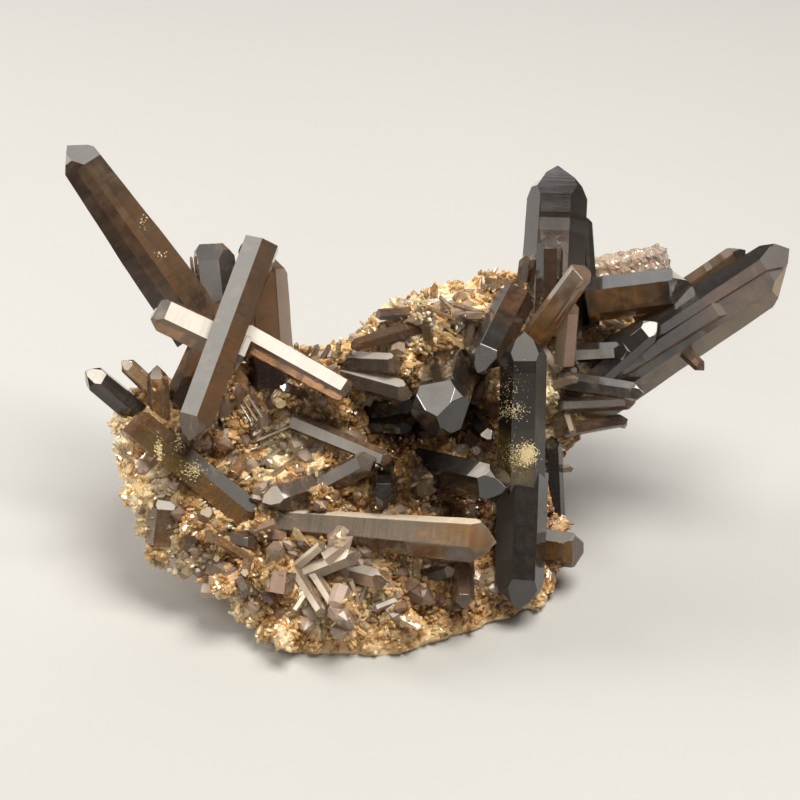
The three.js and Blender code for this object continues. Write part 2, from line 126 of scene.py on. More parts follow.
class Graph:
    """A material's node tree with short calls."""

    def __init__(self, name):
        self.material = bpy.data.materials.new(name)
        self.material.use_nodes = True
        self.tree = self.material.node_tree
        self.shader = self.tree.nodes["Principled BSDF"]
        self.output = self.tree.nodes["Material Output"]

    def node(self, kind, values=None, **settings):
        made = self.tree.nodes.new(kind)
        for key, value in settings.items():
            setattr(made, key, value)
        for key, value in (values or {}).items():
            self.feed(made.inputs[key], value)
        return made

    def feed(self, socket, value):
        """Sets a socket's value, or links another node's output to it."""
        if isinstance(value, bpy.types.NodeSocket):
            self.tree.links.new(value, socket)
        else:
            socket.default_value = value

    def math(self, operation, a, b=0.0, clamp=False):
        made = self.node("ShaderNodeMath", {0: a, 1: b}, operation=operation)
        made.use_clamp = clamp
        return made.outputs[0]

    def plus(self, a, b, clamp=False):
        return self.math("ADD", a, b, clamp)

    def times(self, a, b, clamp=False):
        return self.math("MULTIPLY", a, b, clamp)

    def share(self, a, amount, b):
        """Mixes two factors: amount of a, and the rest b."""
        return self.plus(self.times(a, amount), self.times(b, 1 - amount))

    def vary(self, fac, noise, amount, clamp=False):
        """A factor that a noise moves up and down."""
        return self.plus(fac, self.times(self.math("SUBTRACT", noise, 0.5), amount), clamp)

    def noise(self, vector, scale, detail=3.0, roughness=0.55):
        values = {"Vector": vector, "Scale": scale, "Detail": detail, "Roughness": roughness}
        return self.node("ShaderNodeTexNoise", values).outputs["Fac"]

    def ramp(self, fac, stops):
        made = self.node("ShaderNodeValToRGB", {"Fac": fac})
        ramp = made.color_ramp
        while len(ramp.elements) < len(stops):
            ramp.elements.new(1.0)
        for element, (place, colour) in zip(ramp.elements, stops):
            element.position = place
            element.color = (*colour, 1.0)
        return made.outputs["Color"]

    def mix(self, fac, a, b):
        made = self.node("ShaderNodeMix", data_type="RGBA")
        for key, value in (("Factor", fac), ("A", a), ("B", b)):
            socket = next(s for s in made.inputs if s.name == key and s.enabled)
            self.feed(socket, (*value, 1.0) if isinstance(value, tuple) else value)
        return next(s for s in made.outputs if s.enabled)

    def spread(self, fac, contrast):
        """A noise with more contrast round its middle."""
        return self.plus(self.times(self.math("SUBTRACT", fac, 0.5), contrast), 0.5, clamp=True)

    def level(self, fac, low, high):
        """A factor spread from low to high."""
        values = {"Value": fac, "To Min": low, "To Max": high}
        return self.node("ShaderNodeMapRange", values).outputs["Result"]

    def attribute(self, name):
        return self.node("ShaderNodeAttribute", attribute_name=name)

    def coordinates(self):
        return self.node("ShaderNodeTexCoord").outputs["Object"]

    def bump(self, height, distance, strength):
        values = {"Height": height, "Distance": distance, "Strength": strength}
        return self.node("ShaderNodeBump", values).outputs["Normal"]

    def shade(self, **values):
        """Feeds the shader's inputs. An underscore stands for a space in their names."""
        for key, value in values.items():
            self.feed(self.shader.inputs[key.replace("_", " ")], value)


def crystal_material(name, clear, dusty, absorb=None, density=0.0, transmission=0.0, smooth=0.3, satin=0.5,
                     dust_and_sheen_cover=0.0, coat=0.35):
    """Quartz, see-through where it has a transmission. Growth lines run across its prism faces.

    smooth and satin are the roughness of clean faces and of faces under their full tint. The cover argument
    is added to every face's tint, for dust and painted sheen that hide the quartz under it.
    """
    g = Graph(name)
    place = g.attribute("crystal").outputs["Vector"]
    # The tint attribute holds dust with painted sheen and painted shade; the stain attribute holds colour
    # zones with painted glow.
    tint = g.attribute("tint")
    stain_and_glow = g.attribute("stain_and_glow")
    along, across, seed = g.node("ShaderNodeSeparateXYZ", {"Vector": place}).outputs
    lines_at = g.node(
        "ShaderNodeCombineXYZ", {"X": along, "Y": g.times(across, LINE_STRETCH), "Z": seed}).outputs[0]
    coarse = g.noise(lines_at, 0.9, 2.0, 0.6)
    fine = g.noise(lines_at, 2.6, 2.0, 0.6)
    lines = g.share(coarse, 0.65, fine)
    patches = g.spread(g.noise(place, 0.2, 4.0, 0.62), 3.2)
    # veil: how far the face's tint covers it, which is dust with painted sheen and painted shade.
    veil = g.times(
        g.plus(tint.outputs["Alpha"], dust_and_sheen_cover), g.level(g.share(patches, 0.6, coarse), 0.6, 1.25), clamp=True)
    stain_and_glow_weight = g.times(stain_and_glow.outputs["Alpha"], g.level(patches, 0.45, 1.3), clamp=True)
    mist = g.spread(g.math("SUBTRACT", g.noise(place, 0.42, 5.0, 0.66), 0.07), 5.0)
    specks = g.spread(g.math("SUBTRACT", g.noise(place, 1.9, 3.0), 0.2), 12.0)
    shade = g.share(g.spread(lines, 2.6), 0.55, patches)
    darkest = 0.55 if density else 0.28
    colour = g.mix(patches, clear, dusty)
    # stains: colour zones and painted glow of light through the crystal
    colour = g.mix(stain_and_glow_weight, colour, stain_and_glow.outputs["Color"])
    colour = g.mix(g.times(mist, 0.2), colour, MIST)
    # the face's tint: dust, painted sheen and painted shade
    colour = g.mix(veil, colour, tint.outputs["Color"])
    colour = g.mix(g.times(specks, 0.35), colour, CREAM)
    colour = g.mix(g.level(shade, darkest, 0.0), colour, BLACK)
    flecks = g.noise(place, 1.6, 3.0, 0.6)
    rough = g.plus(g.level(veil, smooth, satin), g.times(flecks, 0.07))
    g.shade(Base_Color=colour, Roughness=rough, Normal=g.bump(lines, 0.00003, 0.7))
    g.shade(Transmission_Weight=transmission, IOR=QUARTZ_IOR)
    g.shade(Coat_Weight=coat, Coat_IOR=1.55, Coat_Roughness=0.06)
    if density:
        volume = g.node("ShaderNodeVolumeAbsorption", {"Color": (*absorb, 1.0), "Density": density})
        g.tree.links.new(volume.outputs["Volume"], g.output.inputs["Volume"])
    return g.material


def rock_material():
    """Honey to brown druse rock: pale on its lumps, dark in its deep hollow, where its tone holds painted
    shade.
    """
    g = Graph("druse_rock")
    at = g.coordinates()
    tone = g.attribute("tone").outputs["Fac"]
    coarse = g.noise(at, 160.0, 4.0, 0.6)
    fine = g.noise(at, 900.0, 3.0, 0.65)
    mixed = g.vary(g.vary(tone, coarse, 0.7), fine, 0.5, clamp=True)
    colour = g.ramp(mixed, [
        (0.0, (0.045, 0.020, 0.009)),
        (0.25, (0.18, 0.085, 0.035)),
        (0.5, (0.55, 0.32, 0.145)),
        (0.75, (0.84, 0.61, 0.33)),
        (1.0, (0.97, 0.85, 0.62)),
    ])
    g.shade(Base_Color=colour, Roughness=g.level(fine, 0.15, 0.5), Normal=g.bump(fine, 0.0004, 0.8))
    g.shade(Specular_IOR_Level=0.6)
    return g.material


def druse_material(name, stops, low_rough, high_rough, transmission=0.0, coat=0.0):
    """Small crystals, each with its own shade."""
    g = Graph(name)
    shade = g.attribute("shade").outputs["Fac"]
    cloud = g.noise(g.coordinates(), 700.0, 3.0, 0.6)
    colour = g.ramp(g.vary(shade, cloud, 0.35, clamp=True), stops)
    g.shade(Base_Color=colour, Roughness=g.level(cloud, low_rough, high_rough))
    g.shade(IOR=QUARTZ_IOR, Transmission_Weight=transmission, Coat_Weight=coat, Coat_Roughness=0.05)
    return g.material


# ---- crystals

def face(turn, tint, amount, start=0.0, end=1.0):
    """A prism face's tint: partly dust, partly painted sheen and painted shade. turn is its direction round
    the axis in degrees, 0 towards the viewer.
    """
    return {"turn": turn, "end": False, "tint": tint, "amount": amount, "from": start, "to": end}


def cap(turn, tint, amount):
    """An end face's tint: partly dust, partly painted sheen and painted shade."""
    return {"turn": turn, "end": True, "tint": tint, "amount": amount, "from": 0.0, "to": 1.0}


def body(tint, amount, start=0.0, end=1.0):
    """A stain inside a whole crystal, which leaves its faces clean."""
    return {"turn": None, "end": None, "tint": tint, "amount": amount, "from": start, "to": end}


def glow(turn, tint, amount, start, end):
    """Colour that shows through one prism face, kept with the stains: mostly painted glow of light passing
    through the crystal, with some darker and golden zones inside it.
    """
    return {"turn": turn, "end": None, "tint": tint, "amount": amount, "from": start, "to": end}


TILT_WEIGHT = 6  # mm of misfit for a face that leans by a whole unit
END_TILT = 0.35  # faces that look along the axis by more than this are end faces

# For each CAD node its kind of quartz and its crystals: root, tip, width, tints. The tints hold painted
# sheen, shade and glow as well as dust and colour zones.
CRYSTALS = {
    "crossed_crystals_left": ("smoky", [
        ([-57, 20, -12], [-93.4, 71.8, -4], 11.4, [
            cap(34, ASH, 0.9), cap(-26, SLATE, 0.8), face(-86, BROWN, 0.3), glow(34, AMBER, 0.35, 0.3, 0.6),
            body(UMBER, 0.75)]),
        ([-43.5, 13.1, 3.8], [-69.5, 25.5, 10], 9.2, [
            face(24, WHITE, 1.0), cap(24, SLATE, 0.7), glow(-36, PAINTED_GLOW, 1.0, 0.2, 0.9),
            face(-36, PAINTED_GLOW, 0.45, 0.3, 0.7)]),
        ([-50.5, 22, -2], [-12.5, 1, 4], 6.2, [
            face(-26, WHITE, 1.0), face(34, PINK, 0.5), glow(34, PAINTED_GLOW, 0.6, 0.0, 0.8)]),
        ([-38.2, 43.5, 6], [-57, -10.5, 16], 9.8, [
            face(30, GREY, 0.9), face(-30, BROWN, 0.4), glow(-30, AMBER, 0.6, 0.5, 0.8)]),
        ([-50.5, 14, -14], [-53.8, 47, -10], 10.4, [
            face(-13, GREY, 0.8), face(47, DARK, 0.9), cap(-13, SLATE, 0.8)]),
        ([-37, 4, -12], [-39.5, 46, -8], 11.6, [face(5, BROWN, 0.5)]),
        ([-63.5, -2, -11], [-49, 28.5, -6], 7.8, [face(10, BROWN, 0.4)]),
    ]),
    "crystal_left_edge": ("morion", [
        ([-75, -3.5, -8], [-87.5, 8, 2], 6.8, [cap(30, WHITE, 0.8), face(30, GREY, 0.5)]),
    ]),
    "crystals_left_small": ("honey", [
        ([-70, 3, -6], [-77.5, 11, 2], 4.2, [cap(10, WHITE, 0.6)]),
        ([-68, -6, -5], [-68, 9.5, 0], 5.4, [cap(0, PALE, 0.7), glow(0, AMBER, 0.8, 0.0, 1.0)]),
    ]),
    "crystal_lower_left": ("honey", [
        ([-39.5, -35.5, 0], [-77, -3.5, 5], 8.6, [
            face(48, SLATE, 0.8, 0.0, 0.5), glow(48, BROWN, 0.8, 0.6, 1.0),
            glow(-12, OLIVE, 1.0, 0.5, 0.75), glow(-12, AMBER, 0.8, 0.0, 0.45),
            glow(-12, BROWN, 0.6, 0.8, 1.0)]),
    ]),
    "crystal_front_long": ("pale", [
        ([-33.6, -34.6, 0], [26, -38.5, 17], 10.4, [
            face(-16, IVORY, 0.5, 0.0, 0.7), face(-76, IVORY, 0.8), glow(44, BROWN, 0.9, 0.0, 1.0),
            glow(-16, AMBER, 0.7, 0.78, 0.95), cap(-16, BROWN, 0.3)]),
    ]),
    "crystal_front_upper": ("morion", [
        ([5, -19.5, -20], [28.5, -23.5, 16], 9.8, [
            cap(-40, ASH, 0.8), cap(20, SLATE, 0.8), face(-40, GREY, 0.4, 0.0, 0.6),
            face(-40, PALE, 0.7, 0.8, 1.0)]),
    ]),
    "crystal_pointing_out": ("morion", [
        ([15.5, 11, -26], [10, -4, 30], 13.8, [cap(-28, GREY, 0.9), cap(32, ASH, 0.8), cap(92, DARK, 0.5)]),
    ]),
    "crystal_centre_grey": ("morion", [
        ([33.2, 29.2, -13], [21.7, 8, 6], 9.4, [
            face(8, SLATE, 0.5, 0.5, 1.0), glow(8, BROWN, 1.0, 0.0, 0.4), face(68, SLATE, 0.5),
            face(-52, BROWN, 0.5)]),
    ]),
    "crystal_centre_slanting": ("honey", [
        ([36.5, 15.5, -8], [51, 37, 14], 6.4, [
            cap(-15, PALE, 0.5), glow(-15, AMBER, 1.0, 0.0, 0.5), glow(45, AMBER, 1.0, 0.0, 0.6),
            face(45, CREAM, 0.4, 0.6, 1.0)]),
    ]),
    "crystals_upright_dark": ("morion", [
        ([34, -28, -6], [34, 18, 11], 11.2, [
            face(0, ASH, 0.5, 0.4, 1.0), cap(0, DARK, 0.9), face(60, DARK, 0.8),
            glow(-60, GOLD, 1.0, 0.22, 0.32), face(-60, GOLD, 0.5, 0.26, 0.3),
            glow(0, GOLD, 0.9, 0.24, 0.3), face(0, GOLD, 0.4, 0.25, 0.28)]),
        ([35, -20, -6], [33, -58, 5], 12.0, [
            face(55, DARK, 0.8), face(-5, SLATE, 0.15), cap(-5, SLATE, 0.8), cap(55, DARK, 0.7)]),
    ]),
    "crystal_nub_dark": ("morion", [
        ([-4.5, -18, -16], [-4.5, -27.5, 12], 7.0, [cap(180, PALE, 0.4), face(180, PALE, 0.4)]),
    ]),
    "crystals_middle_left": ("smoky", [
        ([-17.5, -22, -8], [-37.5, -28, 8.5], 6.8, [face(20, PALE, 0.5), cap(20, PALE, 0.6)]),
        ([-25, -26, -5], [-7, -16, 7], 6.2, [face(-20, GREY, 0.8), cap(-20, PALE, 0.5)]),
        ([-30, -6, -8], [-2.5, -17, 5], 5.0, [face(12, PALE, 0.8)]),
    ]),
    "crystals_upper_left": ("smoky", [
        ([-24, 11, -12], [0.5, 10, 0], 5.6, [face(-50, PALE, 0.6), face(10, GREY, 0.5)]),
        ([-22, 8.5, -11], [3.5, 1.5, 0], 5.8, [face(-46, PALE, 0.7), face(14, GREY, 0.5)]),
    ]),
    "crystals_in_cleft": ("morion", [
        ([-18, -5, -24], [4, -1, -6], 5.8, []),
        ([-19, -7, -24], [3.5, -8, -8], 4.6, []),
    ]),
    "crystal_cleft_right": ("morion", [([19, -2, -26], [25.5, -11, -1], 4.4, [cap(6, WHITE, 0.8)])]),
    "crystal_below_dark": ("smoky", [([17.5, -42, 0], [17.5, -57, 14], 5.2, [cap(0, PALE, 0.4)])]),
    "crystals_top_right": ("morion", [
        ([43.7, 18, -24], [46.7, 68.5, -26], 15.4, [
            body(DARK, 0.7, 0.6, 1.0), face(50, DARK, 0.5), cap(-70, WHITE, 0.8),
            glow(-10, ROSE, 1.0, 0.1, 0.55)]),
        ([43, 22, -17], [43, 47.5, -15], 6.4, [face(0, BROWN, 0.5), cap(0, PALE, 0.4)]),
        ([56.5, 22, -29.5], [54.5, 54, -29], 4.6, [face(20, GREY, 0.5)]),
    ]),
    "crystal_back_cream": ("frosted", [
        ([57, 37.5, -36], [83, 43, -36], 8.0, [
            body(PAINTED_GLOW, 0.5, 0.0, 0.5), face(-50, IVORY, 0.5), cap(10, WHITE, 0.5)]),
    ]),
    "crystals_right": ("morion", [
        ([52, 0.5, -25], [111, 39.8, -4], 14.4, [
            face(-5, SLATE, 0.5, 0.0, 0.5), face(-65, SLATE, 0.5), glow(-5, DARK, 0.9, 0.0, 0.5),
            glow(-5, BROWN, 1.0, 0.65, 0.85), glow(-65, DARK, 0.9, 0.0, 1.0), glow(55, PAINTED_GLOW, 1.0, 0.3, 1.0),
            face(55, PAINTED_GLOW, 0.5, 0.5, 0.95), cap(55, CREAM, 0.8), cap(-5, SLATE, 0.6)]),
        ([70, 22, -24], [99.5, 43.2, -16], 6.2, [face(-50, AMBER, 0.3), face(10, AMBER, 0.3)]),
        ([50, 1, -16], [72.5, 21.5, -4], 6.4, [
            face(-10, ASH, 0.45), glow(-10, ROSE, 0.7, 0.1, 0.5), face(-70, ASH, 0.5), cap(-10, ASH, 0.5),
            cap(-70, GREY, 0.6)]),
        ([80, 15, -10], [86, 8.5, -6], 3.2, [body(ROSE, 1.0)]),
        ([54.8, 29, -20.5], [84, 32.5, -14], 10.8, [
            face(-50, GREY, 0.4), cap(-50, PALE, 0.6), face(70, AMBER, 0.5), glow(10, AMBER, 0.5, 0.1, 0.6),
            glow(70, AMBER, 1.0, 0.0, 1.0)]),
        ([51, 13.5, -12], [64, 14, -5], 4.6, [face(14, PALE, 0.8)]),
    ]),
    "crystal_right_low": ("pale", [
        ([46, 5.5, -10], [67.5, 2, 4.5], 4.8, [
            cap(-40, WHITE, 0.8), face(-40, GREY, 0.5), face(20, DARK, 0.6), body(DARK, 0.9)]),
    ]),
    "crystal_pink": ("honey", [
        ([46.9, 10.5, -9.4], [47.7, 28, -2], 5.4, [face(20, PINK, 0.9), face(-40, CREAM, 0.7)]),
    ]),
    "spike_right_upper": ("smoky", [([46, -1.5, -11], [66.5, -0.5, -5], 3.8, [face(-60, PALE, 0.5)])]),
    "spike_right_lower": ("smoky", [([45, -9, -14], [64.5, -5.5, -6], 3.4, [face(-50, GREY, 0.5)])]),
    "crystal_low_right": ("smoky", [
        ([38, -41.5, -14], [53, -43, -4], 9.0, [
            face(-50, GREY, 0.7), cap(-50, ASH, 0.8), cap(70, ASH, 0.7), glow(10, AMBER, 1.0, 0.2, 1.0),
            body(UMBER, 0.6)]),
    ]),
    "crystal_behind_upright": ("morion", [
        ([44.5, -34, -16], [43.5, -10.5, -14], 5.2, [face(0, DARK, 0.5)]),
    ]),
    "block_pale": ("pale", [([-34.5, -52, 4], [-34, -38.5, 14], 4.4, [face(0, CREAM, 0.7)])]),
    "blades_low_white": ("pale", [
        ([-29.5, -47, 6], [-20.5, -39, 14], 2.6, [face(10, IVORY, 0.9), face(-50, IVORY, 0.9)]),
        ([-28, -49, 6], [-11, -41.5, 16], 4.8, [face(-40, IVORY, 1.0), face(20, CREAM, 0.8)]),
        ([-29, -47, 8], [-20.5, -58.5, 18], 3.0, [face(10, IVORY, 0.9)]),
        ([-25, -46, 8], [-17.5, -56, 18], 2.8, [face(10, IVORY, 0.9)]),
    ]),
    "crystal_low_pink": ("honey", [
        ([-15, -47.5, 4], [-3.5, -49, 18], 5.2, [
            face(-40, PALE, 0.7), cap(-40, PALE, 0.7), face(20, PINK, 0.6)]),
    ]),
    "needle_low": ("pale", [([4, -53.5, 4], [-8, -57, 15], 2.4, [face(10, WHITE, 0.8)])]),
}


class Axis:
    """One crystal's axis and its directions, in the row frame and millimetres."""

    def __init__(self, root, tip, width, tints):
        self.root, self.tip = to_row(root), to_row(tip)
        self.width, self.tints = width, tints
        self.cap_height = width / 2 * math.tan(CAP_SLOPE)
        self.length = float(np.linalg.norm(self.tip - self.root))
        self.along = (self.tip - self.root) / self.length
        out = W_AXIS - self.along * (W_AXIS @ self.along)
        self.out = out / np.linalg.norm(out)
        self.side = np.cross(self.along, self.out)

    def misfit(self, centre, normal):
        """How badly a face fits this crystal's own faces."""
        tilt = float(normal @ self.along)
        away = centre - self.root
        reach = float(away @ self.along)
        aside = math.sqrt(max(0.0, float(away @ away) - reach * reach))
        outside = max(0.0, -reach, reach - self.length) + max(0.0, aside - CROWN * self.width)
        prism = abs(float(away @ normal) - self.width / 2) + TILT_WEIGHT * abs(tilt)
        point = abs(float((self.tip - centre) @ normal)) + TILT_WEIGHT * abs(tilt - math.cos(CAP_SLOPE))
        foot = abs(reach) + TILT_WEIGHT * abs(tilt + 1)
        return min(prism, point, foot) + outside

    def turn_of(self, normal):
        """A face's direction round the axis in degrees, 0 towards the viewer."""
        return math.degrees(math.atan2(float(normal @ self.side), float(normal @ self.out)))

    def share_of(self, point):
        """How far along the crystal a point lies, 0 at its root and 1 at its tip."""
        return float((point - self.root) @ self.along) / self.length


def scatter(index, channel):
    """A repeatable number from 0 to 1."""
    wave = math.sin(index * 12.9898 + channel * 78.233) * 43758.5453
    return wave - math.floor(wave)


STEPPED_WIDTH = 4.0  # mm: the least width of a crystal with growth steps
GROWTH_STEP = 0.011  # how far the growth steps move a crystal's surface, as a share of its radius
STEP_SPACING = 3.2  # mm between them
FIRST_STEP = 1.5  # mm from the root to where they may begin
EDGE_ROUNDING = 0.11  # mm
FLAT_ENOUGH = math.radians(0.5)  # faces that meet at less than this are one face
SHARP_ENOUGH = math.radians(14)  # edges sharper than this are rounded
FADE = 0.15  # share of a crystal's length over which a tint fades out
TURN_REACH = 24  # degrees
DUST_AND_SHEEN_LEVEL = 0.55  # tint above which a face takes the opaque satin material, showing dust and painted sheen and shade
RAGGED_FACE = 1.2  # mm that the faces of a ragged crystal measure
RAGGEDNESS = 1.3  # mm


def owner_of(axes, centre, normal):
    """The number of the crystal that a face belongs to."""
    return min(range(len(axes)), key=lambda i: axes[i].misfit(centre, normal))


def step_places(axis, number):
    """The growth steps of a crystal: their numbers and how far from the root they lie."""
    place = FIRST_STEP
    step = 0
    while True:
        step += 1
        place += STEP_SPACING * (0.45 + 1.3 * scatter(31 * number + step, axis.width))
        if place >= axis.length - 1.25 * axis.cap_height:
            return
        yield step, place


def add_growth_steps(bm, axes):
    """Cuts each larger crystal across its axis and moves the cuts in or out a little."""
    for number, axis in enumerate(axes):
        if axis.width < STEPPED_WIDTH:
            continue
        along = Vector(axis.along)
        for step, place in step_places(axis, number):
            own = [f for f in bm.faces
                   if owner_of(axes, np.array(f.calc_center_median()) / MM, np.array(f.normal)) == number]
            corners = [v for f in own for v in f.verts]
            sides = [e for f in own for e in f.edges]
            geometry = list(dict.fromkeys(corners + sides + own))  # each once, in the same order each run
            at = Vector((axis.root + axis.along * place) * MM)
            cut = bmesh.ops.bisect_plane(bm, geom=geometry, dist=1e-7, plane_co=at, plane_no=along)
            rise = GROWTH_STEP * 2 * (scatter(17 * number + step, axis.length) - 0.5)
            for item in cut["geom_cut"]:
                if isinstance(item, bmesh.types.BMVert):
                    away = item.co - at
                    away -= along * away.dot(along)
                    if away.length < 0.9 * axis.width * MM:
                        item.co += away * rise


def blend(rules, share):
    """The mixed colour and weight of some tints at a share of the crystal's length."""
    colour, weight, strongest = np.zeros(3), 0.0, 0.0
    for rule in rules:
        rising = 1 + (share - rule["from"]) / FADE
        falling = 1 + (rule["to"] - share) / FADE
        amount = rule["amount"] * min(1.0, max(0.0, rising), max(0.0, falling))
        colour += np.array(rule["tint"]) * amount
        weight += amount
        strongest = max(strongest, amount)
    return (*(colour / weight), strongest) if weight > 0 else (0.0, 0.0, 0.0, 0.0)


def face_marks(axis, number, normal, points):
    """For a face's corners: the place on the crystal, the tint, which is dust with painted sheen and shade,
    and the stain, which is colour zones with painted glow.

    The place's third number sets the crystal's and the face's own patterns apart from the others'.
    """
    across = np.cross(axis.along, normal)
    turn = axis.turn_of(normal)
    is_end = float(normal @ axis.along) > END_TILT
    here = [
        rule for rule in axis.tints
        if rule["turn"] is None or abs((turn - rule["turn"] + 180) % 360 - 180) < TURN_REACH
    ]
    tints = [rule for rule in here if rule["end"] == is_end]
    stains_and_glows = [rule for rule in here if rule["end"] is None]
    for point in points:
        away = point - axis.root
        share = axis.share_of(point)
        place = (away @ axis.along, away @ across, 7.3 * number + turn / 30)
        yield place, blend(tints, share), blend(stains_and_glows, share)


def write_marks(mesh, marks):
    """Stores the marks on the mesh's face corners."""
    layers = (("crystal", "FLOAT_VECTOR", "vector"), ("tint", "FLOAT_COLOR", "color"),
              ("stain_and_glow", "FLOAT_COLOR", "color"))
    for (name, kind, key), column in zip(layers, zip(*marks)):
        values = np.array(column, np.float32)
        mesh.attributes.new(name, kind, "CORNER").data.foreach_set(key, values.ravel())


def give_dust_and_sheen(piece, kind):
    """Gives the faces with a strong tint the opaque satin material of their kind of quartz, which shows that
    tint as dust and as painted sheen and painted shade.
    """
    mesh = piece.data
    mesh.materials.append(dust_and_sheen[kind])
    tint = mesh.attributes["tint"].data
    for polygon in mesh.polygons:
        amount = sum(tint[i].color[3] for i in polygon.loop_indices) / polygon.loop_total
        polygon.material_index = 1 if amount > DUST_AND_SHEEN_LEVEL else 0


def mark_faces(mesh, axes):
    """Writes where each corner lies on its crystal and the tint of its face."""
    marks = []
    for polygon in mesh.polygons:
        normal = np.array(polygon.normal)
        number = owner_of(axes, np.array(polygon.center) / MM, normal)
        points = [np.array(mesh.vertices[v].co) / MM for v in polygon.vertices]
        marks.extend(face_marks(axes[number], number, normal, points))
    write_marks(mesh, marks)


def add_piece(name, mesh, material, slot):
    """A new piece that moves with the cluster."""
    mesh.materials.clear()
    mesh.materials.append(material)
    piece = put(name, mesh)
    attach(piece, "root")
    return piece


def round_edges(bm, edges, width):
    """Bevels edges in the mesh's own units."""
    bmesh.ops.bevel(
        bm, geom=edges, offset=width, segments=1, profile=0.5, affect="EDGES", clamp_overlap=True)


def make_ragged(bm):
    """Breaks a crystal's faces into small uneven ones."""
    for cuts in (5, 1):
        longest = [e for e in bm.edges if e.calc_length() > RAGGED_FACE * MM]
        bmesh.ops.subdivide_edges(bm, edges=longest, cuts=cuts, use_grid_fill=True)
        bmesh.ops.triangulate(bm, faces=bm.faces)
    for v in bm.verts:
        at = v.co / MM
        push = noise.noise_vector(at * 0.45) * 0.55 + noise.noise_vector(at * 1.3) * 0.4
        v.co += push * RAGGEDNESS * MM
    bm.normal_update()


def dress_crystals(node, kind, rows):
    """The look of one CAD node: its own solid with growth steps, rounded edges and marked faces."""
    axes = [Axis(*row) for row in rows]
    bm = bmesh.new()
    bm.from_mesh(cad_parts[node].data)
    bmesh.ops.remove_doubles(bm, verts=bm.verts, dist=2e-6)
    bmesh.ops.dissolve_limit(
        bm, angle_limit=FLAT_ENOUGH, verts=bm.verts, edges=bm.edges, use_dissolve_boundaries=False)
    bm.normal_update()
    add_growth_steps(bm, axes)
    bm.normal_update()
    sharp = [e for e in bm.edges if e.is_manifold and e.calc_face_angle_signed() > SHARP_ENOUGH]
    round_edges(bm, sharp, EDGE_ROUNDING * MM)
    bmesh.ops.remove_doubles(bm, verts=bm.verts, dist=1e-7)
    bmesh.ops.triangulate(bm, faces=[f for f in bm.faces if len(f.verts) > 4])
    if kind == "frosted":
        make_ragged(bm)
    mesh = bpy.data.meshes.new(node + "_look")
    bm.to_mesh(mesh)
    bm.free()
    mark_faces(mesh, axes)
    piece = add_piece(node + "_look", mesh, materials[kind], SLOTS.get(kind, kind))
    give_dust_and_sheen(piece, kind)
    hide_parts(node)


# For each kind of quartz: its clear and dusty colours, then the colour and density of what it absorbs, its
# transmission and the roughness of its clean and its satin faces.
QUARTZ = {
    "morion": ((0.13, 0.095, 0.072), (0.055, 0.043, 0.036), (0.50, 0.30, 0.07), 170.0, 0.72, 0.05, 0.22),
    "smoky": ((0.62, 0.43, 0.29), (0.26, 0.17, 0.11), (0.56, 0.34, 0.05), 120.0, 0.72, 0.04, 0.22),
    "honey": ((0.86, 0.66, 0.44), (0.46, 0.28, 0.15), (0.80, 0.52, 0.12), 80.0, 0.74, 0.05, 0.22),
    "pale": ((0.90, 0.78, 0.64), (0.60, 0.44, 0.31), (0.74, 0.48, 0.16), 60.0, 0.70, 0.06, 0.24),
    "frosted": ((0.95, 0.83, 0.72), (0.66, 0.45, 0.33), (0.80, 0.52, 0.22), 60.0, 0.40, 0.10, 0.30),
}
SLOTS = {"frosted": "pale"}  # the slot of a kind of quartz that has none of its own
materials = {kind: crystal_material(kind + "_quartz", *look) for kind, look in QUARTZ.items()}
# Opaque satin materials for strongly tinted faces, showing dust and painted sheen and shade.
dust_and_sheen = {
    kind: crystal_material(kind + "_dusted", clear, dusty, dust_and_sheen_cover=0.3, coat=0.08)
    for kind, (clear, dusty, *_) in QUARTZ.items()
}
for node, (kind, rows) in CRYSTALS.items():
    dress_crystals(node, kind, rows)

# ---- rock

VOXEL = 0.75  # mm
FACET_COUNT = 2600
SOCKET_CLOSING = 0.75  # mm that the rock swells towards a crystal beside it
SOCKET_REACH = 0.8  # mm over which that swelling fades
LOWEST_FACET = -1.0
LEAST_LIFT, MOST_LIFT = -1.0, 1.6  # mm that the rock's surface may move
FOOT_EDGE = 2.0  # mm over the foot in which it moves less, down to nothing


def surface_tree(meshes):
    """The surfaces of some meshes, for finding what is close to them or hits them."""
    verts, faces = [], []
    for mesh in meshes:
        start = len(verts)
        verts.extend(v.co[:] for v in mesh.vertices)
        faces.extend([start + i for i in p.vertices] for p in mesh.polygons)
    return BVHTree.FromPolygons(verts, faces)


large_crystals = [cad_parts[node].data for node in CRYSTALS]
large_tree = surface_tree(large_crystals)

# Paler and darker places of the druse: where on the face, how far they reach and how much paler. Besides the
# druse's own patches they hold painted shade in the deep hollow among the middle crystals and painted light
# on rock that lies in the crystals' shade.
TONE_AND_PAINTED_LIGHT_SPOTS = (
    (9, -7, 22, 8, -0.55), (20, -29, 13, 8, -0.45), (-31, -14, 12, 7, 0.45), (-53, -12, 8, 7, -0.35),
    (-78, -24, 8, 24, 0.4), (-20, -60, 26, 9, 0.15), (8, 24, 24, 9, 0.25), (46, 8, 8, 14, 0.6),
    (-40, 8, 12, 6, -0.3), (-14, -28, 18, 5, -0.35), (12, -57, 12, 7, -0.15), (-66, -42, 8, 8, 0.2),
    (-40, -42, 10, 5, -0.2), (43, -30, 5, 14, -0.15),
)
USUAL_TONE = 0.62


def tone_at(u, v):
    """How pale the druse is at a place of the face: 0 dark brown, 1 cream, with painted shade and painted
    light from the tone spots.
    """
    value = USUAL_TONE
    for cu, cv, ru, rv, height in TONE_AND_PAINTED_LIGHT_SPOTS:
        value += height * math.exp(-(((u - cu) / ru) ** 2 + ((v - cv) / rv) ** 2))
    return value


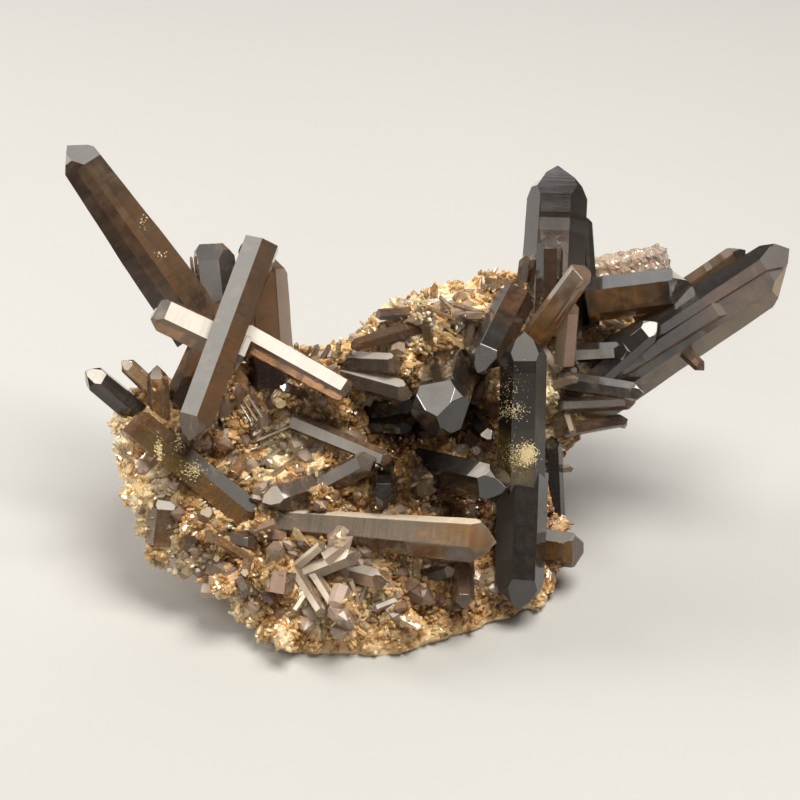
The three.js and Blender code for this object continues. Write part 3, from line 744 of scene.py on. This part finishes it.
def cloud_at(point):
    """Patches of paler and darker rock, from about -0.5 to 0.5, at a point in millimetres."""
    return 0.6 * noise.noise(point * 0.13) + 0.4 * noise.noise(point * 0.33 + Vector((5, 2, 8)))


class RockFacets:
    """Flat facets, like those of crystals grown into each other, as heights over the rock."""

    def __init__(self, points):
        picked = random.choice(len(points), size=FACET_COUNT, replace=False)
        self.seeds = points[picked]
        self.slopes = random.normal(0, 0.45, (FACET_COUNT, 3))
        self.rises = random.uniform(-0.5, 0.7, FACET_COUNT)
        self.tree = KDTree(FACET_COUNT)
        for i, seed in enumerate(self.seeds):
            self.tree.insert(seed, i)
        self.tree.balance()

    def height(self, point):
        best = LOWEST_FACET
        for _, i, far in self.tree.find_n(point, 4):
            slope = float(self.slopes[i] @ (np.array(point) - self.seeds[i]))
            best = max(best, self.rises[i] + slope - 0.3 * far)
        return best


def remeshed_matrix():
    """A finer copy of the CAD matrix's mesh."""
    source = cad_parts["matrix"]
    copy = source.copy()
    copy.data = source.data.copy()
    copy.parent = None
    scene.collection.objects.link(copy)
    remesh = copy.modifiers.new("remesh", "REMESH")
    remesh.mode = "VOXEL"
    remesh.voxel_size = VOXEL * MM
    mesh = bpy.data.meshes.new_from_object(copy.evaluated_get(bpy.context.evaluated_depsgraph_get()))
    bpy.data.objects.remove(copy)
    return mesh


def make_rock():
    """The finer matrix with facets and lumps, swollen enough to close its sockets. Returns its mesh."""
    mesh = remeshed_matrix()
    points = np.array([v.co[:] for v in mesh.vertices]) / MM
    normals = np.array([v.normal[:] for v in mesh.vertices])
    count = len(points)
    uvw = to_face(points)
    tone = np.empty(count, np.float32)
    lift = np.empty(count)
    facets = RockFacets(points)
    for i in range(count):
        p = Vector(points[i])
        close = large_tree.find_nearest(p * MM)[3] / MM
        coarse = noise.noise(p * 0.22)
        fine = noise.noise(p * 1.3 + Vector((1, 9, 4)))
        swelling = SOCKET_CLOSING * math.exp(-close / SOCKET_REACH)
        lift[i] = 0.9 * facets.height(p) + 0.4 * coarse + 0.25 * fine + swelling
        # the tone takes painted shade and painted light from the tone spots
        tone[i] = tone_at(uvw[i, 0], uvw[i, 1]) + 0.45 * cloud_at(p) + 0.2 * fine
    lift = np.clip(lift, LEAST_LIFT, MOST_LIFT) * np.clip(points[:, 2] / FOOT_EDGE, 0.0, 1.0)
    points += normals * lift[:, None]
    points[:, 2] = np.maximum(points[:, 2], 0.0)
    mesh.vertices.foreach_set("co", (points * MM).ravel())
    mesh.attributes.new("tone", "FLOAT", "POINT").data.foreach_set("value", tone)
    mesh.update()
    piece = add_piece("druse_matrix", mesh, rock_material(), "crust")
    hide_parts("matrix")
    return mesh


rock = make_rock()
rock_tree = surface_tree([rock])

# ---- small crystals that stand out of the druse

# Each row gives where its root and its tip are seen on the
# display face, how much nearer to the viewer the tip is, its width, its roll, its bluntness and its tints,
# which hold painted sheen and shade as well as dust.
SMALL_CRYSTALS = {
    "smoky": [
        # along the upper ridge
        ((3, 24.5), (-7, 24), 6, 3.4, 10, 0.5, [face(-50, GREY, 0.7)]),
        ((5, 20.5), (-13.5, 15), 8, 4.4, 34, 0, [body(BROWN, 0.6)]),
        ((2.5, 15), (-2, 20), 1.5, 2.2, 20, 0, [face(20, PALE, 0.6)]),
        ((20, 22), (19, 14), 1.5, 2.5, 0, 0, [cap(0, WHITE, 0.8), face(0, GREY, 0.4)]),
        ((34, 32), (35, 40.5), 5, 3.4, 10, 0, [face(10, GREY, 0.6)]),
        # in the granular hollow
        ((-43, 15), (-42.5, 3.5), 8, 3.6, 0, 0, [face(0, GREY, 0.9)]),
        ((-27, 1), (-33, 3.5), 7, 3.6, 10, 0.2, [cap(10, GREY, 0.8)]),
        ((-25, -9.5), (-20.5, -7), 1, 2.2, 20, 0, [face(20, PALE, 0.7)]),
        ((-32, -14), (-44, -23), 10, 2, 10, 0, [face(10, BROWN, 0.4)]),
        # on the lower face
        ((-34, -31.5), (-27.5, -34), 1, 1.7, 10, 0, [face(10, GREY, 0.7)]),
        ((-27, -30), (-27.5, -26), 1, 3.6, 30, 0.3, [cap(30, PALE, 0.6)]),
        ((-47, -38.5), (-38.5, -40.5), 6.5, 5.3, 10, 0.5, [face(10, GREY, 0.6), face(70, PALE, 0.5)]),
        ((-25.5, -43), (-28.5, -39.5), 2.5, 2.5, 0, 0, [cap(0, GREY, 0.6)]),
        ((-45, -50), (-43, -55), 1, 3.9, 0, 0, [cap(0, PALE, 0.6)]),
        ((6.5, -50), (15, -47.5), 1.5, 4.5, 10, 0, [cap(10, PALE, 0.8), face(10, DARK, 0.6)]),
        # beside the right-hand crystals
        ((43.5, 12), (49.5, 8), 8, 3.1, 10, 0, [face(10, GREY, 0.4)]),
    ],
    "honey": [
        # along the upper ridge
        ((30, 32), (21.5, 33), 4, 3.6, 20, 0.5, [cap(20, WHITE, 0.8), face(-40, WHITE, 1.0)]),
        ((9.5, 28.5), (9.5, 32.5), 3, 2.2, 0, 0, [cap(0, PALE, 0.6)]),
        ((-5, 13), (-5, 21.5), 2, 2.8, 8, 0, [face(8, CREAM, 0.7)]),
        ((-5, 21.5), (1, 23.5), 6, 2.5, 20, 0.4, [face(-40, WHITE, 0.8)]),
        ((13, 19.5), (1.5, 23), 6, 1.4, 10, 0, [face(-50, CREAM, 0.8)]),
        ((15.5, 24.5), (11, 29), 1, 1.4, 10, 0, [face(10, CREAM, 0.8)]),
        ((8.5, 15.5), (7, 23), 6, 2, 0, 0, [face(0, GOLD, 0.5)]),
        ((4, 27.5), (15.5, 22.5), 6, 1.4, 25, 0, [face(25, AMBER, 0.5)]),
        # in the granular hollow
        ((-44, 0.5), (-40, -6), 1.5, 1.1, 0, 0, [face(0, CREAM, 0.7)]),
        ((-30, -7), (-40.5, -11.5), 4, 1.4, 0, 0, [face(0, CREAM, 0.7)]),
        ((-32, -10.5), (-42, -14), 6, 1.1, 20, 0, [face(-40, CREAM, 0.7)]),
        ((-28.5, -7.5), (-21.5, -5), 1, 1.4, 10, 0, [face(10, GOLD, 0.5)]),
        ((-27.5, -15.5), (-38.5, -22.5), 10, 1.7, 20, 0, [face(-40, CREAM, 0.6)]),
        ((-44, -15.5), (-47.5, -22), 7, 3.9, 0, 0.5, [face(0, AMBER, 0.3)]),
        # on the lower face
        ((-30.5, -22.5), (-33.5, -30), 8, 5, 5, 0.4, [face(5, AMBER, 0.3)]),
        ((-33.5, -48), (-34.5, -57), 1, 7.3, 5, 0.6, [face(5, PINK, 0.7), face(65, BROWN, 0.6)]),
        ((-43, -45), (-43.5, -49.5), 6, 2.8, 0, 0, [cap(0, CREAM, 0.6)]),
        ((-67, -40), (-65.5, -26.5), 3.5, 7.0, 12, 0.3,
         [cap(12, PALE, 0.7), cap(-48, WHITE, 0.5), face(12, BROWN, 0.4), face(-48, PINK, 0.3)]),
        ((-59.5, -41.5), (-53.5, -30), 3.5, 5.6, 10, 0, [face(10, BROWN, 0.5), cap(10, CREAM, 0.6)]),
        ((-41.5, -45), (-54.5, -37), 3.5, 2.8, 10, 0, [face(10, AMBER, 0.4), face(-50, CREAM, 0.5)]),
        # beside the right-hand crystals
        ((45, 1.5), (48.5, -9.5), 7, 2.5, 10, 0.3, [face(10, CREAM, 0.8)]),
        ((50.5, -3.5), (64, -7), 8, 3.1, 10, 0.5, [face(10, BROWN, 0.4), face(-50, CREAM, 0.5)]),
        # between the crossed crystals
        ((-57, 27), (-58.5, 40), 4, 1.4, 0, 0, [face(0, CREAM, 0.9)]),
        # on the upper left rim
        ((-22, 11), (-19.5, 15.5), 4, 1.7, 0, 0, [face(0, CREAM, 0.8)]),
    ],
    "pale": [
        # along the upper ridge
        ((36, 34.5), (29.5, 32.5), 4, 1.4, 10, 0, [face(-50, CREAM, 0.8)]),
        ((14.5, 27.5), (-1.5, 27), 2.5, 3, 15, 0, [face(-45, CREAM, 0.7)]),
        ((23, 30), (12.5, 30), 4, 2.5, 20, 0, [face(-40, CREAM, 0.9)]),
        ((37, 36), (37.5, 40.5), 5, 2.5, 30, 0.3, [cap(30, IVORY, 1.0)]),
        ((22.5, 24.5), (14.5, 27), 1, 1.7, 10, 0, [face(-50, CREAM, 0.8)]),
        ((14.5, 20), (20, 22.5), 6, 0.8, 0, 0, [face(0, IVORY, 1.0)]),
        # in the granular hollow
        ((-32.5, 6.5), (-38, 1), 10, 2.5, -15, 0, [face(-15, IVORY, 1.0)]),
        ((-31, 5.5), (-36, 0.5), 8, 1.4, -15, 0, [face(-15, IVORY, 0.8)]),
        ((-29, 3.5), (-25, -2), 1, 1.4, 10, 0, [face(10, CREAM, 0.8)]),
        ((-45.5, 0), (-41.5, -6.5), 2, 1.1, 0, 0, [face(0, IVORY, 0.7)]),
        ((-42.5, 1), (-38.5, -5), 1.5, 1.1, 0, 0, [face(0, CREAM, 0.7)]),
        ((-39, -8), (-42, -6.5), 5, 1.4, 0, 0, [cap(0, IVORY, 0.7)]),
        ((-48.5, -8.5), (-48, -13), 3.5, 2.2, 0, 0, [face(0, CREAM, 0.6)]),
        ((-33.5, -13.5), (-39, -18), 8, 2.2, -10, 0, [face(-10, CREAM, 0.9)]),
        # on the lower face
        ((-33, -29), (-42, -27), 2.5, 2.2, 20, 0, [face(20, CREAM, 0.7)]),
        ((-32.5, -31), (-38.5, -29), 6, 2.2, 20, 0, [face(20, CREAM, 0.6)]),
        ((-27, -55), (-30, -59.5), 3.5, 2, 10, 0.4, [face(10, IVORY, 0.6)]),
        ((-11.5, -57.5), (-14, -50), 1, 1.7, 10, 0, [face(10, CREAM, 0.6)]),
        ((-11.5, -57.5), (-9, -50.5), 1, 1.4, 10, 0, [face(10, CREAM, 0.6)]),
        ((-52.5, -46), (-45.5, -50), 8, 5, 10, 0.5, [face(10, CREAM, 0.5)]),
        # beside the right-hand crystals
        ((57, 23), (64.5, 19.5), 8, 2, 10, 0.6, [face(10, IVORY, 1.0), face(-50, IVORY, 0.9)]),
        ((55.5, 19.5), (59.5, 19.5), 7, 1.4, 0, 0.5, [face(0, CREAM, 1.0)]),
        ((72, 27), (68, 20), 4, 2.2, 0, 0.4, [face(0, CREAM, 0.9)]),
        ((42.5, -19.5), (48.5, -19), 5, 2.2, 10, 0, [face(-50, CREAM, 0.8)]),
        ((40.5, 13.5), (45, 6), 8, 3.4, 0, 0.3, [face(0, CREAM, 0.8)]),
        ((43, 4), (49.5, 6), 8, 2.5, 10, 0, [face(10, CREAM, 0.7)]),
        # between the crossed crystals
        ((-58, 26), (-60.5, 33.5), 3, 1.7, 0, 0, [face(0, IVORY, 1.0)]),
        # on the upper left rim
        ((-29, 12.5), (-29, 16), 4, 1.4, 0, 0, [cap(0, IVORY, 0.7)]),
        ((-24.5, 11), (-23, 15.5), 4, 2, 0, 0, [face(0, CREAM, 0.8)]),
        ((-17.5, 12.5), (-17, 16.5), 4, 1.4, 0, 0, [cap(0, IVORY, 0.7)]),
        ((-26.5, 12), (-25, 15), 4, 1.1, 0, 0, [face(0, CREAM, 0.8)]),
    ],
}
SMALL_ROUNDING = 0.05  # mm
ROOT_SINK = 0.25  # how far a root lies under the rock, as a share of its width
RIDGE_DEPTH = -18.0  # mm: the depth at which roots seen past the rock's edge look for it
OVER_ALL = 60.0  # mm: a depth nearer to the viewer than anything on the face


def seen_at(place, depth):
    """The point of the display face's frame that is seen at a place of the face and lies at a depth."""
    share = 1 - depth / CAMERA_DISTANCE
    return np.array([place[0] * share, place[1] * share, depth])


def depth_of_rock(place):
    """The depth of the rock where it is seen at a place of the face."""
    start, end = to_row([seen_at(place, OVER_ALL), seen_at(place, RIDGE_DEPTH)]) * MM
    hit = rock_tree.ray_cast(Vector(start), Vector(end - start).normalized())
    if hit[0] is None:
        hit = rock_tree.find_nearest(Vector(end))
    return float(to_face(np.array(hit[0]) / MM)[2])


def cut_crystal(axis, roll, blunt, seed):
    """The closed form of one quartz crystal as a bmesh in millimetres, cut from a block.

    blunt is how much of its point is cut off, as a share of the point's height.
    """
    bm = bmesh.new()
    bmesh.ops.create_cube(bm, size=4 * axis.length)
    for v in bm.verts:
        v.co += Vector(axis.root)
    half = axis.width / 2
    planes = [(axis.root, -axis.along)]
    for k in range(6):
        turn = math.radians(roll + 60 * k)
        away = axis.out * math.cos(turn) + axis.side * math.sin(turn)
        planes.append((axis.root + away * half * (0.85 + 0.25 * scatter(seed, k)), away + 0.02 * axis.along))
        step = half * (0.25 * (k % 2) + 0.3 * scatter(seed, k + 6))
        slope = away * math.sin(CAP_SLOPE) + axis.along * math.cos(CAP_SLOPE)
        planes.append((axis.tip + slope * step, slope))
    if blunt:
        lean = axis.along + 0.3 * (scatter(seed, 13) - 0.5) * axis.side
        planes.append((axis.tip - axis.along * blunt * axis.cap_height, lean))
    for place, normal in planes:
        whole = bm.verts[:] + bm.edges[:] + bm.faces[:]
        cut = bmesh.ops.bisect_plane(
            bm, geom=whole, plane_co=Vector(place), plane_no=Vector(normal), clear_outer=True)
        rim = [e for e in cut["geom_cut"] if isinstance(e, bmesh.types.BMEdge)]
        bmesh.ops.edgeloop_fill(bm, edges=rim)
    bmesh.ops.remove_doubles(bm, verts=bm.verts, dist=0.01)
    round_edges(bm, bm.edges[:], SMALL_ROUNDING)
    bmesh.ops.recalc_face_normals(bm, faces=bm.faces)
    bm.normal_update()
    return bm


def add_small_crystals(name, kind, rows):
    """All the small crystals of one kind as one piece. Returns its mesh."""
    verts, faces, marks = [], [], []
    for number, (root, tip, nearer, width, roll, blunt, tints) in enumerate(rows):
        depth = depth_of_rock(root) - ROOT_SINK * width
        axis = Axis(seen_at(root, depth), seen_at(tip, depth + nearer), width, tints)
        bm = cut_crystal(axis, roll, blunt, 10 * number + width)
        start = len(verts)
        verts.extend(v.co * MM for v in bm.verts)
        for f in bm.faces:
            faces.append([start + v.index for v in f.verts])
            marks.extend(face_marks(axis, number, np.array(f.normal), [np.array(v.co) for v in f.verts]))
        bm.free()
    mesh = new_mesh(name, verts, faces)
    write_marks(mesh, marks)
    give_dust_and_sheen(add_piece(name, mesh, materials[kind], kind), kind)
    return mesh


small_crystals = [
    add_small_crystals("small_crystals_" + kind, kind, rows) for kind, rows in SMALL_CRYSTALS.items()
]

# ---- druse

crystal_tree = surface_tree(large_crystals + small_crystals)
LEAST_ROOM = 0.45  # mm between a root and the crystals beside it
LEAST_LENGTH = 0.5  # mm
CORNERS = 13  # of one druse crystal: six round its root, six round its shoulder and its point


def rock_samples(count, keep):
    """Points spread evenly over the rock's faces that keep() likes, with their normals."""
    areas = np.array([face.area for face in rock.polygons])
    centres = np.array([face.center[:] for face in rock.polygons]) / MM
    normals = np.array([face.normal[:] for face in rock.polygons])
    weights = areas * keep(to_face(centres), normals @ FACE_AXES.T, centres)
    chosen = random.choice(len(areas), size=count, p=weights / weights.sum())
    return centres[chosen], normals[chosen]


def across_axes(directions):
    """Two unit vectors square to each direction and to each other."""
    helper = np.where(np.abs(directions[:, 2:3]) < 0.9, [[0.0, 0.0, 1.0]], [[1.0, 0.0, 0.0]])
    side = unit(np.cross(directions, helper))
    return side, np.cross(directions, side)


def druse_mesh(name, bases, directions, lengths, widths, shades):
    """Closed six-sided crystals with a point, one for each base."""
    count = len(bases)
    side, other = across_axes(directions)
    roll = random.uniform(0, math.pi / 3, count)
    flat = random.uniform(0.65, 1.0, count)
    corners = np.empty((count, CORNERS, 3))
    for k in range(6):
        turn = roll + k * math.pi / 3 + random.uniform(-0.12, 0.12, count)
        ring = side * np.cos(turn)[:, None] + other * (np.sin(turn) * flat)[:, None]
        corners[:, k] = bases - directions * (0.5 * widths)[:, None] + ring * (0.55 * widths)[:, None]
        shoulder = np.maximum(lengths - widths * random.uniform(0.42, 0.62, count), 0.1)
        corners[:, 6 + k] = bases + directions * shoulder[:, None] + ring * (0.5 * widths)[:, None]
    drift = random.normal(0, 0.13, (count, 2)) * widths[:, None]
    corners[:, 12] = bases + directions * lengths[:, None] + side * drift[:, :1] + other * drift[:, 1:]
    pattern = [[5, 4, 3, 2, 1, 0]]
    pattern += [[k, (k + 1) % 6, 6 + (k + 1) % 6, 6 + k] for k in range(6)]
    pattern += [[6 + k, 6 + (k + 1) % 6, 12] for k in range(6)]
    faces = [[start + i for i in f] for start in range(0, CORNERS * count, CORNERS) for f in pattern]
    mesh = new_mesh(name, (corners.reshape(-1, 3) * MM).tolist(), faces)
    values = np.repeat(shades, CORNERS).astype(np.float32)
    mesh.attributes.new("shade", "FLOAT", "POINT").data.foreach_set("value", values)
    return mesh


def room_for(base, direction, length):
    """The length that a druse crystal may have before it meets another one, or 0 where it has no room."""
    start = Vector(base * MM)
    if crystal_tree.find_nearest(start)[3] < LEAST_ROOM * MM:
        return 0.0
    hit = crystal_tree.ray_cast(start, Vector(direction), length * MM)
    return length if hit[0] is None else 0.92 * hit[3] / MM


def grow_druse(name, count, length, width, material, slot, keep, lean, tone_shift, squat, bundle, sink):
    """Small crystals all over the rock where keep() likes it, in bundles that lie side by side.

    lean turns them away from the rock's normal, squat is their most width for their length and sink is the
    share of their length that stays in the rock.
    """
    centres, normals = rock_samples(count // bundle, keep)
    leaning = normals + random.normal(0, lean / 2, normals.shape) + 0.2 * W_AXIS
    centres, normals, leaning = (np.repeat(a, bundle, axis=0) for a in (centres, normals, leaning))
    total = len(centres)
    spread = random.normal(0, 0.5 * (width[0] + width[1]) * (bundle > 1), (total, 3))
    spread -= normals * (spread * normals).sum(axis=1, keepdims=True)
    directions = unit(leaning + random.normal(0, 0.12 * (bundle > 1), (total, 3)))
    lengths = length[0] + (length[1] - length[0]) * random.beta(1.4, 2.4, total)
    widths = width[0] + (width[1] - width[0]) * random.beta(1.5, 2.0, total)
    widths = np.minimum(widths, squat * lengths)
    on_rock = np.array([rock_tree.find_nearest(Vector(p * MM))[0] for p in centres + spread]) / MM
    bases = on_rock - directions * (sink * lengths)[:, None]
    kept = []
    for i in range(total):
        lengths[i] = room_for(bases[i], directions[i], lengths[i])
        lowest = bases[i, 2] + min(0.0, lengths[i] * directions[i, 2]) - widths[i]
        if lengths[i] > max(LEAST_LENGTH, 0.85 * widths[i]) and lowest > 0:
            kept.append(i)
    kept = np.array(kept)
    # the shades take painted shade and painted light from the tone spots
    shades = np.array([tone_at(u, v) for u, v, _ in to_face(centres[kept])]) + tone_shift
    shades += np.array([0.75 * cloud_at(Vector(p)) for p in centres[kept]])
    shades += random.normal(0, 0.1, len(kept))
    shades = np.clip(shades, 0, 1)
    mesh = druse_mesh(name, bases[kept], directions[kept], lengths[kept], widths[kept], shades)
    add_piece(name, mesh, material, slot)


# How much druse grows on a face of the rock, from its u, v, w, where it faces along them, and its place in
# the row frame.


def facing_viewer(least, height):
    """A rule for faces that look at the viewer by at least so much and lie so high over the foot, in mm."""
    return lambda uvw, facing, centres: (facing[:, 2] > least) * (centres[:, 2] > height)


def on_middle(uvw, facing, centres):
    """The face well inside its rim."""
    return facing_viewer(0.72, 9.0)(uvw, facing, centres) * (np.abs(uvw[:, 0] + 20) < 53)


def on_back(uvw, facing, centres):
    """The broken back."""
    return (facing[:, 2] <= -0.1) * (centres[:, 2] > 3.0)


def everywhere(uvw, facing, centres):
    """The whole rock over its foot, with less on the back."""
    return (centres[:, 2] > 0.8) * (1.0 - 0.7 * (facing[:, 2] < -0.3))


on_front = facing_viewer(0.35, 2.5)
on_face = facing_viewer(0.55, 5.0)  # the face without its outermost rim

HONEY_DRUSE = druse_material("honey_druse", [
    (0.0, (0.06, 0.026, 0.011)),
    (0.25, (0.25, 0.10, 0.033)),
    (0.5, (0.59, 0.315, 0.105)),
    (0.75, (0.86, 0.58, 0.26)),
    (1.0, (0.98, 0.82, 0.52)),
], low_rough=0.06, high_rough=0.3, transmission=0.2, coat=0.5)
GLASSY_DRUSE = druse_material("glassy_druse", [
    (0.0, (0.40, 0.20, 0.08)),
    (0.4, (0.80, 0.53, 0.24)),
    (0.75, (0.95, 0.77, 0.47)),
    (1.0, (1.0, 0.91, 0.70)),
], low_rough=0.04, high_rough=0.2, transmission=0.68)
SMOKY_DRUSE = druse_material("smoky_druse", [
    (0.0, (0.20, 0.11, 0.07)),
    (0.5, (0.52, 0.35, 0.25)),
    (1.0, (0.84, 0.69, 0.55)),
], low_rough=0.22, high_rough=0.45, transmission=0.62)

# Each row: name, count, least and most length, least and most width, material, slot, where it grows, then
# its lean, tone shift, squatness, bundle and sink.
DRUSE = (
    ("druse_grains", 8400, (0.7, 2.0), (0.8, 1.7), HONEY_DRUSE, "crust", everywhere, 1.2, 0.0, 0.95, 1, 0.3),
    ("druse_small", 5200, (1.4, 3.6), (0.8, 1.8), HONEY_DRUSE, "crust", on_front, 2.0, 0.0, 0.65, 2, 0.15),
    ("druse_blades", 3000, (2.2, 5.6), (0.8, 2.0), GLASSY_DRUSE, "honey", on_face, 2.2, 0.05, 0.5, 6, 0.3),
    ("druse_blocks", 600, (3.0, 7.0), (2.0, 4.2), GLASSY_DRUSE, "honey", on_middle, 2, -0.05, 0.8, 1, 0.45),
    ("druse_lumps", 400, (4.0, 9.0), (3.0, 6.8), SMOKY_DRUSE, "honey", on_middle, 1.6, 0.0, 0.9, 1, 0.5),
    ("druse_back", 700, (1.5, 4.0), (0.9, 2.2), HONEY_DRUSE, "crust", on_back, 1.6, 0.0, 0.8, 1, 0.2),
)
for row in DRUSE:
    grow_druse(*row)

# ---- gold dust and veils


def dust_spot(u, v, radius_u, radius_v, count, size):
    """Places on the large crystals' surface round a point of the face, with normals and sizes."""
    for _ in range(count):
        along, aside = random.normal(0, 0.5, 2)
        start = Vector(to_row([u + radius_u * along, v + radius_v * aside, OVER_ALL]) * MM)
        hit = large_tree.ray_cast(start, Vector(-W_AXIS))
        if hit[0] is not None:
            yield np.array(hit[0]) / MM, np.array(hit[1]), random.uniform(*size)


GOLD_DUST = druse_material("gold_dust", [
    (0.0, (0.74, 0.48, 0.13)),
    (0.5, (0.95, 0.79, 0.42)),
    (1.0, (1.0, 0.96, 0.82)),
], low_rough=0.1, high_rough=0.3)

# Each row: the spot's middle, its reach along u and v, its number of specks and their least and most size.
DUST_SPOTS = (
    (30.5, -3.2, 4.5, 2.4, 260, (0.08, 0.26)),
    (30.5, 4.0, 4.5, 6.0, 90, (0.08, 0.2)),
    (35.5, -15.0, 2.2, 2.6, 900, (0.1, 0.36)),
    (33.0, -15.5, 4.2, 4.0, 420, (0.06, 0.22)),
    (-66.5, -14.0, 1.0, 4.0, 120, (0.15, 0.45)),
    (-61.0, -12.5, 1.6, 2.6, 70, (0.15, 0.4)),
    (-57.5, -19.5, 3.0, 2.5, 160, (0.12, 0.4)),
    (-72.2, 49.5, 1.0, 2.2, 16, (0.25, 0.5)),
    (-67.5, 41.0, 1.5, 1.2, 16, (0.25, 0.5)),
)


def add_gold_dust():
    """Gold-coloured specks on the large crystals."""
    places, normals, sizes = zip(*(grain for spot in DUST_SPOTS for grain in dust_spot(*spot)))
    sizes = np.array(sizes)
    directions = unit(np.array(normals) + random.normal(0, 0.6, (len(sizes), 3)))
    shades = random.uniform(0, 1, len(sizes))
    mesh = druse_mesh("gold_dust", np.array(places), directions, 0.8 * sizes, sizes, shades)
    add_piece("gold_dust", mesh, GOLD_DUST, "honey")


add_gold_dust()

VEIL_CORNERS = 14
# The cracks inside the large crystals: the node, the number of the crystal in it and how many it has.
VEILS = (
    ("crossed_crystals_left", 0, 12), ("crossed_crystals_left", 3, 5), ("crossed_crystals_left", 5, 5),
    ("crystals_right", 0, 10), ("crystals_right", 4, 5), ("crystal_front_long", 0, 12),
    ("crystal_front_upper", 0, 4), ("crystals_top_right", 0, 8), ("crystals_upright_dark", 0, 5),
    ("crystals_upright_dark", 1, 5), ("crystal_lower_left", 0, 8), ("crystal_back_cream", 0, 5),
)


def veils_in(node, number, count):
    """Cracks scattered in one crystal of a CAD node: their middles, normals and radii."""
    axis = Axis(*CRYSTALS[node][1][number])
    for _ in range(count):
        share = random.uniform(0.08, 0.8)
        turn = random.uniform(0, 2 * math.pi)
        away = axis.out * math.cos(turn) + axis.side * math.sin(turn)
        centre = axis.root + axis.along * axis.length * share + away * axis.width * random.uniform(0, 0.18)
        normal = axis.along * random.normal(0.6, 0.5) + away * random.normal(0.6, 0.4)
        yield centre, normal / np.linalg.norm(normal), 0.35 * axis.width * random.uniform(0.35, 0.9)


def veil_mesh(name, rows):
    """Thin healed cracks inside crystals: irregular, slightly bent sheets, each a closed solid."""
    verts, faces = [], []
    sides, others = across_axes(np.array([normal for _, normal, _ in rows]))
    for (centre, normal, radius), side, other in zip(rows, sides, others):
        bend = random.normal(0, 0.25, 2)
        reach = radius * random.uniform(0.45, 1.0, VEIL_CORNERS)
        top = len(verts)
        bottom = top + VEIL_CORNERS + 1
        for sign in (1, -1):
            verts.append(centre + normal * 0.04 * sign)
            for k in range(VEIL_CORNERS):
                turn = 2 * math.pi * k / VEIL_CORNERS
                x, y = reach[k] * math.cos(turn), reach[k] * math.sin(turn)
                lift = (bend[0] * x * x + bend[1] * x * y) / radius
                verts.append(centre + side * x + other * y + normal * (lift + 0.02 * sign))
        for k in range(VEIL_CORNERS):
            here, there = 1 + k, 1 + (k + 1) % VEIL_CORNERS
            faces.append([top, top + here, top + there])
            faces.append([bottom, bottom + there, bottom + here])
            faces.append([top + here, bottom + here, bottom + there, top + there])
    return new_mesh(name, [Vector(v * MM) for v in verts], faces)


def veil_material():
    """Bright, nearly clear cracks."""
    g = Graph("veils")
    cloud = g.noise(g.coordinates(), 1400.0, 3.0, 0.7)
    g.shade(Base_Color=g.mix(cloud, (0.90, 0.78, 0.62), (1.0, 0.95, 0.88)))
    g.shade(Roughness=g.level(cloud, 0.05, 0.3), Transmission_Weight=0.88, IOR=1.2)
    return g.material


veils = [veil for row in VEILS for veil in veils_in(*row)]
add_piece("veils", veil_mesh("veils", veils), veil_material(), "smoky")

# ---- stage

FLOOR_REACH = 4.0  # metres
SENSOR = 36.0  # mm
LIT_HEIGHT = 0.05  # metres over the floor that the lights look at


def add_floor():
    """A plain grey floor."""
    g = Graph("floor_paint")
    colour = g.mix(g.noise(g.coordinates(), 3.0), (0.43, 0.425, 0.415), (0.47, 0.465, 0.455))
    g.shade(Base_Color=colour, Roughness=0.7)
    corners = [(x * FLOOR_REACH, y * FLOOR_REACH, 0) for x, y in ((-1, -1), (1, -1), (1, 1), (-1, 1))]
    mesh = new_mesh("floor", corners, [(0, 1, 2, 3)])
    mesh.materials.append(g.material)
    put("floor", mesh)


def add_softbox(name, azimuth, elevation, distance, size, power, colour=(1, 1, 1)):
    """A soft light that looks at the cluster, in degrees: azimuth 0 is in front of it, 90 to its right."""
    turn, rise = math.radians(azimuth), math.radians(elevation)
    flat = math.cos(rise)
    away = Vector((math.sin(turn) * flat, -math.cos(turn) * flat, math.sin(rise))).normalized()
    light = bpy.data.lights.new(name, "AREA")
    light.shape = "RECTANGLE"
    light.size, light.size_y = size
    light.energy = power
    light.color = colour
    lamp = put(name, light)
    lamp.location = Vector((0, 0, LIT_HEIGHT)) + away * distance
    lamp.rotation_euler = away.to_track_quat("Z", "Y").to_euler()


def add_camera():
    """The camera looks straight at the display face."""
    camera = bpy.data.cameras.new("camera")
    camera.sensor_width = SENSOR
    camera.lens = SENSOR * CAMERA_DISTANCE / (2 * FRAME_HALF_WIDTH)
    camera.clip_start = 0.01
    viewer = put("camera", camera)
    turn = Matrix(FACE_AXES).transposed().to_4x4()
    place = Matrix.Translation(Vector((FACE_ORIGIN + W_AXIS * CAMERA_DISTANCE) * MM))
    viewer.matrix_world = place @ turn
    scene.camera = viewer


def add_world():
    """Dim grey light from all round."""
    world = bpy.data.worlds.new("studio")
    world.use_nodes = True
    background = world.node_tree.nodes["Background"]
    background.inputs["Color"].default_value = (0.30, 0.31, 0.32, 1)
    background.inputs["Strength"].default_value = 0.3
    scene.world = world


add_floor()
add_camera()
add_softbox("top", 77, 74, 0.9, (0.48, 0.48), 12.5, (1.0, 0.96, 0.88))
add_softbox("left", -104, 27, 0.9, (0.30, 0.30), 6.0, (1.0, 0.96, 0.90))
add_softbox("back", -172, 40, 1.0, (0.90, 0.55), 3.0)
add_softbox("front", -28, 36, 1.3, (0.80, 0.60), 2.2, (1.0, 0.97, 0.92))
add_world()
scene.view_settings.view_transform = "Standard"
scene.cycles.use_denoising = True
